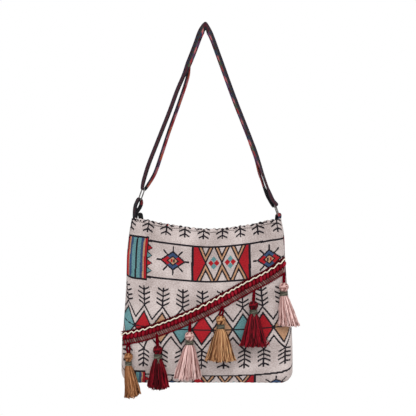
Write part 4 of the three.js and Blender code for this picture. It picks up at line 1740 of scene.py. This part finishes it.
    def build_loop(self) -> None:
        """Twists the loop that hangs the tassel from the braid."""
        top = self.shape.over_front(np.array(self.loop_x), np.array(self.loop_top), 3.6)
        foot = xyz(self.head_x, self.middle_y(self.head_z), self.head_z + self.head_tall - 1)
        half = (top + foot) / 2
        aside = np.array([1.0, 0, 0])
        open_by = self.loop_open * aside
        corners = [foot - aside, half - open_by, top, half + open_by, foot + aside]
        line = even_steps(curve_through(np.array(corners)), 80)[0]
        bundle = MeshBundle(f"{self.name}_loop_thread")
        bundle.add_threads(twisted(line, 2, 0.9, 6, (0, 1, 0)), 1.15, sides=6, shade=np.array([0.55, 0.25]))
        bundle.build([LOOP], "chenille", [f"{self.name}_loop"])


LEG_SLOPE = math.radians(68)  # of the strap's legs, seen from the front
APEX_REACH = 8  # how far across the strap turns over from one leg to the other


def width_way(x: Amount, lean: Amount) -> Array:
    """The way that the width of the webbing runs at places across: to the back, and outward by the lean."""
    turn = LEG_SLOPE * np.tanh(x / APEX_REACH)
    return xyz(np.sin(lean) * np.sin(turn), np.cos(lean), np.sin(lean) * np.cos(turn))


class WebbingYarn(IntEnum):
    """The yarns of the striped webbing, in the order of its finishes."""

    BLACK = 0
    MAROON = 1
    NAVY = 2
    RED = 3
    PINK = 4
    ORANGE = 5
    PURPLE = 6
    TEAL = 7
    GREEN = 8


WEBBING_YARNS: tuple[WovenYarn, ...] = tuple(
    WovenYarn(f"{name}_webbing", colour, fleck, pitch=0.8, relief=0.22)
    for name, colour, fleck in (
        ("black", (24, 21, 26), (36, 32, 38)),
        ("maroon", (74, 20, 32), (50, 14, 24)),
        ("navy", (42, 52, 84), (30, 36, 58)),
        ("red", (162, 48, 54), (122, 34, 40)),
        ("pink", (178, 100, 104), (146, 72, 80)),
        ("orange", (186, 92, 66), (150, 66, 48)),
        ("purple", (92, 58, 88), (68, 40, 66)),
        ("teal", (44, 78, 86), (32, 56, 64)),
        ("green", (76, 92, 68), (56, 68, 50)),
    )
)


def yarns(names: str) -> tuple[WebbingYarn, ...]:
    """Yarns of the webbing, by their names."""
    return tuple(WebbingYarn[name] for name in names.split())


@dataclass(frozen=True)
class StripeChart:
    """How the webbing is striped, by distance from its back edge and distance along."""

    cycle_length: float = 11
    edge_length: float = 15
    dark_runs: tuple[tuple[float, float], ...] = ()
    edges: tuple[WebbingYarn, ...] = yarns("MAROON PURPLE BLACK RED NAVY PURPLE PURPLE MAROON TEAL")
    cycle: tuple[WebbingYarn, ...] = yarns("RED PURPLE PINK PURPLE MAROON NAVY PINK GREEN")
    floats: tuple[WebbingYarn, ...] = yarns("RED ORANGE PINK RED PINK ORANGE PURPLE PINK")
    dashed: tuple[tuple[float, float, WebbingYarn, WebbingYarn], ...] = (
        (1.4, 3.4, WebbingYarn.MAROON, WebbingYarn.MAROON),
        (5.2, 7.8, WebbingYarn.NAVY, WebbingYarn.BLACK),
        (8.6, 10.4, WebbingYarn.BLACK, WebbingYarn.MAROON),
        (12.6, 14.4, WebbingYarn.TEAL, WebbingYarn.GREEN),
    )

    def dark(self, along: Array) -> Array:
        """Where the bright yarns lie hidden inside the webbing."""
        return np.any([(along > first) & (along < last) for first, last in self.dark_runs], axis=0)

    def outer(self, across: Array, along: Array) -> Array:
        """Yarns of the outer face: dark stripes, with a many-coloured zigzag towards the front edge.

        Args:
            across: Distances from the back edge.
            along: Distances along.

        Returns:
            The yarn at each place.
        """
        across, along = np.broadcast_arrays(across, along)
        yarn = np.full(across.shape, WebbingYarn.BLACK)
        for low, high, dash, gap in self.dashed:
            stripe = (across > low) & (across < high)
            yarn[stripe] = np.where(np.mod(along, 9) < 4.6, dash, gap)[stripe]
        zigzag = along + 2.2 * np.abs(np.mod(across, 5.2) - 2.6)
        turn = np.floor(zigzag / self.cycle_length).astype(int) % len(self.cycle)
        band = (across > 16) & (across < 21.4)
        yarn[band] = np.array(self.cycle)[turn[band]]
        edge = across > 22.4
        yarn[edge] = self.edge(along)[edge]
        dark = self.dark(along)
        yarn[dark & (across > 9)] = WebbingYarn.MAROON
        yarn[dark & ((across > 19.5) | (np.abs(across - 13.5) < 0.8))] = WebbingYarn.BLACK
        return yarn

    def edge(self, along: Array) -> Array:
        """Yarns of the front edge, in uneven lengths."""
        uneven = along + 5 * np.sin(along / 23) + 3 * np.sin(along / 7.1)
        return np.array(self.edges)[np.floor(uneven / self.edge_length).astype(int) % len(self.edges)]

    def reverse(self, across: Array, along: Array) -> Array:
        """Yarns of the reverse face, where the floats of the bright yarns lie.

        Args:
            across: Distances from the back edge.
            along: Distances along.

        Returns:
            The yarn at each place.
        """
        across, along = np.broadcast_arrays(across, along)
        turn = np.floor((along + 1.5 * np.mod(across, 4)) / 14).astype(int) % len(self.floats)
        yarn = np.array(self.floats)[turn]
        plain = np.where(np.mod(along, 23) < 13, WebbingYarn.PURPLE, WebbingYarn.MAROON)
        yarn = np.where(across < 14, plain, yarn)
        yarn[across < 8] = WebbingYarn.NAVY
        yarn[across < 3.5] = WebbingYarn.BLACK
        yarn[self.dark(along)] = WebbingYarn.BLACK
        return yarn


@dataclass(frozen=True)
class TabChart(StripeChart):
    """The dark stretch of the webbing that the tabs are cut from, with patches of bright yarn."""

    outer_patches: tuple[tuple[float, float, WebbingYarn], ...] = ()
    reverse_patches: tuple[tuple[float, float, WebbingYarn], ...] = ()

    def outer(self, across: Array, along: Array) -> Array:
        """Yarns of the outer face: black with dashes of maroon, and its patches."""
        dashes = (np.abs(across - 15) < 3) & (np.mod(along, 21) < 12)
        return self.patched(dashes, across, along, self.outer_patches)

    def reverse(self, across: Array, along: Array) -> Array:
        """Yarns of the reverse face: black, and its patches."""
        dashes = np.zeros(np.broadcast(across, along).shape, bool)
        return self.patched(dashes, across, along, self.reverse_patches)

    def patched(self, dashes: Array, across: Array, along: Array, patches: Sequence[tuple]) -> Array:
        """Yarns of a face with patches of bright yarn over its front part.

        Args:
            dashes: Where the black is broken by maroon.
            across: Distances from the back edge.
            along: Distances along.
            patches: Where each patch begins and ends along the face, and its yarn.

        Returns:
            The yarn at each place.
        """
        yarn = np.where(dashes, WebbingYarn.MAROON, WebbingYarn.BLACK)
        for first, last, colour in patches:
            yarn[(across > 9) & (along > first) & (along < last)] = colour
        return yarn


@dataclass
class WebbingRun:
    """A run of striped webbing along a line seen from the front, its width towards the back."""

    name: str
    corners: Sequence[Place]
    chart: StripeChart
    hangs_on: Sequence[str]
    sewn: tuple[float, float] | None = None
    wide: float = 24
    thick: float = 1.6
    columns: int = 30
    step: float = 1.6
    apex_droop: float = 12
    lean_rings: tuple[float, float] = (math.radians(14), math.radians(21))
    lean_gap: float = math.radians(12)
    lean_high: float = math.radians(31.5)
    lean_left: float = math.radians(20)
    lean_right: float = math.radians(26)
    lean_doubled: float = math.radians(18)
    slack: float = 0
    line: Array = field(init=False)
    length: float = field(init=False)

    def __post_init__(self) -> None:
        """Lays the run's middle line at equal steps."""
        curve = curve_through(np.array(self.corners), 16)
        count = int(even_steps(curve, 2)[1] / self.step)
        seen, self.length = even_steps(curve, count)
        self.line = xyz(seen[:, 0], 0, seen[:, 1])

    @property
    def places(self) -> Array:
        """Distance of each step from the run's start."""
        return np.linspace(0, self.length, len(self.line))

    def lean(self) -> Array:
        """How far the width turns outward: by leg, less at the rings and none in the seams.

        Returns:
            The angle at each step.
        """
        x, z = self.line[:, 0], self.line[:, 2]
        left = between(self.lean_left, self.lean_high, smoothstep(z, -106, -74))
        lean = between(left, self.lean_right, smoothstep(x, -6, 6))
        if self.slack:
            doubled = 1 - smoothstep(self.places, self.slack - 20, self.slack + 30)
            lean = between(lean, self.lean_doubled, doubled)
            lean = lean * (1 - 0.28 * smoothstep(self.places, self.length - 110, self.length - 30))
        lean = np.where(x < 0, lean, between(self.lean_gap, lean, smoothstep(z, -308, -245)))
        above_ring = smoothstep(z, np.where(x < 0, -335, -338), np.where(x < 0, -305, -318))
        lean = between(np.where(x < 0, *self.lean_rings), lean, above_ring)
        return lean * (1 - 0.5 * np.exp(-((x / 6) ** 2))) * smoothstep(z, -392, -378)

    def droop(self, across: Array) -> Array:
        """How far the front edge sinks where the run goes over its top.

        Args:
            across: Distances from the middle.

        Returns:
            The drop at each step and distance.
        """
        x, z = self.line[:, 0], self.line[:, 2]
        high = np.exp(-((x / 9) ** 2)) * smoothstep(z, -60, -20)
        return self.apex_droop * high[:, None] * np.maximum(0, -2 * across / self.wide) ** 1.4

    def face_way(self) -> Array:
        """The way that the outer face looks at each step."""
        along = unit(np.gradient(self.line, axis=0))
        return xyz(-along[:, 2], 0, along[:, 0])

    def on(self, along: Amount, across: Amount, height: Array) -> Array:
        """Points on the run.

        Args:
            along: Distances from its start.
            across: Distances from its middle, towards the back.
            height: Heights over its middle, towards the outer face.

        Returns:
            The points.
        """
        along, across, height = np.broadcast_arrays(along, across, height)
        base, width, face = (
            np.stack([np.interp(along, self.places, rows[:, k]) for k in range(3)], axis=-1)
            for rows in (self.line, width_way(self.line[:, 0], self.lean()), self.face_way())
        )
        return base + width * across[..., None] + face * height[..., None]

    def build(self) -> None:
        """Makes the webbing and, where an end is sewn, its stitches."""
        share = np.linspace(1, -1, self.columns + 1)
        half_thick = self.thick / 2 * (1 - 0.7 * np.abs(share) ** 12)
        across = self.wide / 2 * np.concatenate([share, share[::-1]])
        height = np.concatenate([half_thick, -half_thick[::-1]])
        places = self.places[:, None]
        rings = self.on(places, across, height)
        rings[..., 2] -= self.droop(across)
        over = self.wide / 2 - across[:self.columns + 1]
        around = np.concatenate([over, self.wide + over])
        cloth = np.stack(np.broadcast_arrays(around, places), axis=-1)
        from_back = self.wide / 2 - (across + np.roll(across, -1)) / 2
        middle = (places[1:] + places[:-1]) / 2
        outward = np.arange(len(across)) <= self.columns
        finish = np.where(outward, self.chart.outer(from_back, middle), self.chart.reverse(from_back, middle))
        bundle = MeshBundle(f"{self.name}_webbing")
        bundle.add_bands(rings[None], finish[None], cloth=cloth[None])
        piece = bundle.build(WEBBING_YARNS, "webbing", [self.name])
        if self.sewn:
            self.stitch()

    def stitch(self) -> None:
        """Sews a box of stitches at each sewn end."""
        bundle = MeshBundle(f"{self.name}_stitches")
        reach, side = 13, 8.5
        long = np.linspace(-1.1, 1.1, 5)
        height = self.thick / 2 + 0.2 - 0.35 * np.abs(np.linspace(-1, 1, 5)) ** 3
        columns = np.linspace(-side, side, 6)[:, None] + long
        for near in self.sewn:
            far = near + math.copysign(reach, self.length / 2 - near)
            rows = np.linspace(min(near, far), max(near, far), 5)[:, None] + long
            for at in (near, far):
                bundle.add_threads(self.on(at, columns, height), 0.3, sides=5, level=(0.3, 0, 1))
            for at in (-side, side):
                bundle.add_threads(self.on(rows, at, height), 0.3, sides=5)
        bundle.build([SEWING_THREAD], "webbing")


@dataclass(frozen=True)
class WireRing:
    """A rectangular ring of round wire, with the strap round its top bar and a tab round its foot."""

    name: str
    top: Place
    foot: Place
    wide: float = 28.4
    wire: float = 2.6
    corner: float = 3
    bar_turn: float = 2.7
    lean: float = math.radians(10)
    finish: PlatedMetal = PlatedMetal("nickel_wire", (126, 124, 122), (76, 72, 70))

    def turn_round(self, bar: Place, first: float, last: float, steps: int) -> list[Place]:
        """Places of webbing that goes round a bar, from the first angle to the last, in degrees."""
        angles = np.radians(np.linspace(first, last, steps + 1))
        return [(bar[0] + self.bar_turn * math.cos(a), bar[1] + self.bar_turn * math.sin(a)) for a in angles]

    def build(self) -> None:
        """Bends the wire."""
        top, foot = (xyz(x, 0, z) for x, z in (self.top, self.foot))
        down, middle = unit(foot - top), (top + foot) / 2
        across = width_way(self.top[0], self.lean)
        half_tall = math.dist(self.top, self.foot) / 2
        line = []
        for quarter, (side, low) in enumerate(((1, 1), (-1, 1), (-1, -1), (1, -1))):
            for angle in np.radians(90) * (quarter + np.linspace(0, 1, 7)):
                wide = side * (self.wide / 2 - self.corner) + self.corner * math.cos(angle)
                tall = low * (half_tall - self.corner) + self.corner * math.sin(angle)
                line.append(middle + across * wide + down * tall)
        bundle = MeshBundle(f"{self.name}_wire")
        level = np.cross(across, down)
        bundle.add_threads(np.array(line)[None], self.wire / 2, sides=14, level=level, closed=True)
        bundle.build([self.finish], "ring_metal", [self.name])


@dataclass(frozen=True)
class Straps:
    """The strap from ring to ring and the tabs that hold the rings, along places seen from the front."""

    left: WireRing
    right: WireRing
    doubled_leg: Route = (
        (-32.4, -84), (-33.8, -100), (-39.2, -120), (-53.8, -162.8), (-72.2, -214.4),
        (-85.9, -256.3), (-98.8, -292.7), (-110.6, -313),
    )
    main_run: Route = (
        (-121.4, -311), (-112.3, -279.7), (-95.3, -235.7), (-68.5, -167.8), (-54.2, -129), (-36.2, -87.5),
        (-18.6, -43), (-7.4, -12), (0, 0.8), (6.6, -12), (24.8, -61.1), (56.5, -148.4), (85.4, -222.1),
        (100.7, -262.9), (116.2, -306.5), (121, -320), (130.4, -344),
    )
    folded_end: Route = (
        (126.4, -345), (115, -322), (110, -306.5), (105.2, -293), (98.9, -265), (87.2, -231),
    )
    doubled: float = 255
    sewn_in: float = 4
    chart: StripeChart = StripeChart(dark_runs=((250, 518), (602, 626), (935, 1042)))
    left_up: Route = ((-138, -392), (-138.3, -380), (-138, -366), (-136.2, -355), (-133.8, -349))
    left_down: Route = ((-124.9, -350), (-127.4, -358), (-133.4, -368), (-136, -380), (-135.8, -392))
    left_thick: float = 2.8
    left_chart: TabChart = TabChart(reverse_patches=((55, 67, WebbingYarn.RED),))
    right_up: Route = ((138, -395), (138, -386), (138.8, -379))
    right_down: Route = ((144.6, -380), (142.4, -387), (141, -395))
    right_thick: float = 2.6
    right_chart: TabChart = TabChart(
        outer_patches=((24, 30, WebbingYarn.RED), (30, 37, WebbingYarn.NAVY), (37, 46, WebbingYarn.RED)),
    )
    tab_leans: tuple[float, float] = (math.radians(16), math.radians(16))

    def build(self) -> None:
        """Makes the strap and both tabs."""
        left, right = self.left, self.right
        path = (
            *self.doubled_leg, *left.turn_round(left.top, -37, -180, 5),
            *self.main_run, *right.turn_round(right.top, 24, -156, 6), *self.folded_end,
        )
        strap = WebbingRun("strap", path, self.chart, ["strap_hang"], slack=self.doubled)
        strap.sewn = (self.sewn_in, strap.length - self.sewn_in)
        strap.build()
        left_path = (*self.left_up, *left.turn_round(left.foot, 150, 0, 5), *self.left_down)
        right_path = (*self.right_up, *right.turn_round(right.foot, 190, 0, 6), *self.right_down)
        tabs = (
            ("left", left_path, self.left_chart, self.left_thick),
            ("right", right_path, self.right_chart, self.right_thick),
        )
        for side, path, chart, thick in tabs:
            tab = WebbingRun(f"tab_{side}", path, chart, [f"ring_{side}_wire"], thick=thick)
            tab.lean_rings = self.tab_leans
            tab.build()


@dataclass(frozen=True)
class ZipFastener:
    """The open zip inside the mouth: a tape with teeth under each lip, and the tab at its left end."""

    shape: BagShape
    half_wide: float = 150
    reach: float = 0.9
    margin: float = 0.06
    below: float = 2
    tall: float = 11
    thick: float = 1
    gap: float = 0.8
    tooth_pitch: float = 2.4
    tab_at: Point = (-123.6, -12.5, -392)
    tab_wide: float = 9.6
    tab_tall: float = 23.5
    tab_lean: float = math.radians(-8.5)
    tape_finish: WovenYarn = WovenYarn("zip_tape", (24, 23, 26), (46, 43, 48), pitch=0.7, relief=0.2)
    plastic: MouldedPlastic = MouldedPlastic("black_plastic", (9, 9, 10), (30, 29, 30))

    def on(self, facing: Facing, u: Array, under: Amount, off: Amount) -> Array:
        """Points on a tape.

        Args:
            facing: Which lip the tape is under.
            u: Places across the bag.
            under: Distances under the tape's upper edge.
            off: Distances in from the tape's outer face.

        Returns:
            The points.
        """
        u, under, off = np.broadcast_arrays(np.asarray(u, float), under, off)
        lip, base = self.shape.lip(u), self.shape.base(u)
        z = lip - self.below - under
        wall = self.shape.point(facing, u, (z - base) / (lip - base), self.shape.seam, self.shape.wall)
        return xyz(wall[..., 0], wall[..., 1] - int(facing) * (self.gap + off), z)

    def build(self) -> None:
        """Makes both tapes with their teeth, and the tab."""
        for facing in Facing:
            self.build_tape(facing)
            self.build_teeth(facing)
        self.build_tab()

    def build_tape(self, facing: Facing) -> None:
        """Makes one tape.

        Args:
            facing: Which lip it is under.
        """
        u = np.linspace(-self.reach, self.reach, 140)[:, None]
        rows = np.linspace(0, self.tall, 12)
        under = np.concatenate([rows, rows[::-1]])
        off = np.repeat([0, self.thick], len(rows))
        if facing is Facing.BACK:
            under, off = under[::-1], off[::-1]
        rings = self.on(facing, u, under, off)
        cloth = np.stack(np.broadcast_arrays(u * self.half_wide, under), axis=-1)
        bundle = MeshBundle(f"zip_tape_{facing.side}_cloth")
        bundle.add_bands(rings[None], cloth=cloth[None])
        piece = bundle.build([self.tape_finish], "zip", [f"zip_tape_{facing.side}"])
        f"{facing.side}_panel_cloth"

    def build_teeth(self, facing: Facing) -> None:
        """Makes the teeth on a tape's upper edge.

        Args:
            facing: Which lip the tape is under.
        """
        reach = self.reach - self.margin
        u = np.linspace(-reach, reach, int(2 * self.half_wide * reach / self.tooth_pitch))[:, None]
        off = self.thick + np.array([-0.5, 0.3, 1.1, 1.9, 2.3])
        lines = self.on(facing, u, 1.3, off)
        bundle = MeshBundle(f"zip_teeth_{facing.side}")
        bundle.add_threads(lines, np.array([0.6, 0.6, 0.6, 0.75, 0.4]), sides=6, level=(0, 0, 1))
        bundle.build([self.plastic], "zip")

    def build_tab(self) -> None:
        """Moulds the tab: a plate with a round top, soft edges and a shallow field."""
        steps = ((2.3, 0.55), (1.7, 0.1), (1, 0), (0.3, 0.25), (0, 0.9), (0, 2.7), (0.3, 3.35), (1, 3.6))
        crown = np.linspace(0, np.pi, 17)
        top = self.tab_tall - self.tab_wide / 2
        rings = []
        for inset, deep in steps:
            half = self.tab_wide / 2 - inset
            x = np.concatenate([half * np.cos(crown), [-half, -half * 0.9, half * 0.9, half]])
            up = np.concatenate([top + half * np.sin(crown), [inset + 0.6, inset, inset, inset + 0.6]])
            across = self.tab_at[0] + x * math.cos(self.tab_lean) + up * math.sin(self.tab_lean)
            height = self.tab_at[2] - x * math.sin(self.tab_lean) + up * math.cos(self.tab_lean)
            rings.append(xyz(across, self.tab_at[1] + deep, height))
        bundle = MeshBundle("zip_end_tab_plate")
        bundle.add_bands(np.array(rings)[None, :, ::-1])
        bundle.build([self.plastic], "zip", ["zip_end_tab"])


@dataclass(frozen=True)
class StudioLight:
    """A soft square light."""

    name: str
    place: Point
    side: float
    watts: float

    def build(self, target: Vector) -> None:
        """Sets the light up, turned to a target.

        Args:
            target: The point that it shines at.
        """
        lamp = bpy.data.lights.new(self.name, "AREA")
        lamp.size, lamp.energy = self.side, self.watts
        holder = bpy.data.objects.new(self.name, lamp)
        holder.location = self.place
        holder.rotation_euler = (target - Vector(self.place)).to_track_quat("-Z", "Y").to_euler()
        bpy.context.scene.collection.objects.link(holder)


@dataclass(frozen=True)
class Studio:
    """A white studio: pale floor well under the bag, soft light, and the camera where the photo has it."""

    floor_height: float = -1.08
    floor_radius: float = 3
    world_strength: float = 1.0
    camera_at: Point = (0.005, -4.6, -0.3599)
    lens: float = 204.3
    sensor: float = 36
    lit_point: Point = (0, 0, -0.45)
    lights: tuple[StudioLight, ...] = (
        StudioLight("key", (0.3, -2.5, 0.7), 1.3, 44),
        StudioLight("fill", (-1.4, -2.1, 0.1), 1.8, 14),
        StudioLight("top", (0.1, 0.5, 1.5), 1.6, 8),
    )
    floor: PaleFloor = PaleFloor()

    def build(self) -> None:
        """Sets up the floor, the light and the camera."""
        self.build_floor()
        world = bpy.data.worlds.new("studio")
        world.use_nodes = True
        backdrop = world.node_tree.nodes["Background"]
        backdrop.inputs["Color"].default_value = (*WHITE, 1)
        backdrop.inputs["Strength"].default_value = self.world_strength
        scene = bpy.context.scene
        scene.world = world
        scene.view_settings.view_transform = "Standard"
        for light in self.lights:
            light.build(Vector(self.lit_point))
        lens = bpy.data.cameras.new("camera")
        lens.lens, lens.sensor_width = self.lens, self.sensor
        camera = bpy.data.objects.new("camera", lens)
        camera.location = self.camera_at
        camera.rotation_euler = (math.radians(90), 0, 0)
        scene.collection.objects.link(camera)
        scene.camera = camera

    def build_floor(self) -> None:
        """Lays the floor."""
        mesh = bpy.data.meshes.new("studio_floor")
        angle = full_turn(64)
        rim = xyz(np.cos(angle) * self.floor_radius, np.sin(angle) * self.floor_radius, self.floor_height)
        mesh.from_pydata(rim.tolist(), [], [list(range(len(rim)))])
        mesh.materials.append(self.floor.material())
        disc = bpy.data.objects.new("studio_floor", mesh)
        bpy.context.scene.collection.objects.link(disc)


def build_tassels(shape: BagShape) -> None:
    """Builds the six tassels.

    Args:
        shape: The body that they lean on.
    """
    # After the dye: loop's top, head and hem, each across and up, then the hem's half width and rounding
    tassels = (
        Tassel(1, TasselDye.BROWN, -148.8, -622, -149.6, -649.3, -138.8, -727, 15.7, 0.07, shape,
               loop_open=3, lobes=0.16, hem_tilt=0.08, head_radius=6.6, tie_radius=5.8),
        Tassel(2, TasselDye.MAROON, -93.7, -604, -92.3, -634.4, -91.3, -712, 21.4, 0.12, shape),
        Tassel(3, TasselDye.PINK, -29.1, -580, -30.8, -607.2, -34.4, -691.6, 26, 0.065, shape),
        Tassel(4, TasselDye.GOLD, 33, -551, 29.5, -576.4, 29.2, -656, 28, 0.05, shape, loop_open=3),
        Tassel(5, TasselDye.MAROON, 93.9, -521, 92.9, -547.9, 93.1, -628, 24.5, 0.05, shape, stray=3),
        Tassel(6, TasselDye.PINK, 151.5, -487, 152.3, -513.1, 161.9, -589.5, 19.7, 0.04, shape),
    )
    for tassel in tassels:
        tassel.build()


def main() -> None:
    """Builds every piece on the frame."""
    logging.basicConfig(level=logging.INFO, format="%(name)s %(message)s")
    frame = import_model()
    log.info("frame: %d nodes", len(frame["nodes"]))
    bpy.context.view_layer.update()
    shape, chart = BagShape(), FolkChart()
    front = ClothPanel(Facing.FRONT, shape, chart)
    back = ClothPanel(Facing.BACK, shape, chart, cut_across=140, cut_up=120)
    for panel in (front, back):
        panel.build()
        panel.stitch_hem()
    ZipFastener(shape).build()
    Braid(shape).build()
    build_tassels(shape)
    rings = (
        WireRing("ring_left", (-120.6, -322.4), (-128.2, -344), lean=math.radians(12)),
        WireRing("ring_right", (135.4, -354.4), (142, -374), lean=math.radians(7)),
    )
    for ring in rings:
        ring.build()
    Straps(*rings).build()
    Studio().build()


if __name__ == "__main__":
    main()
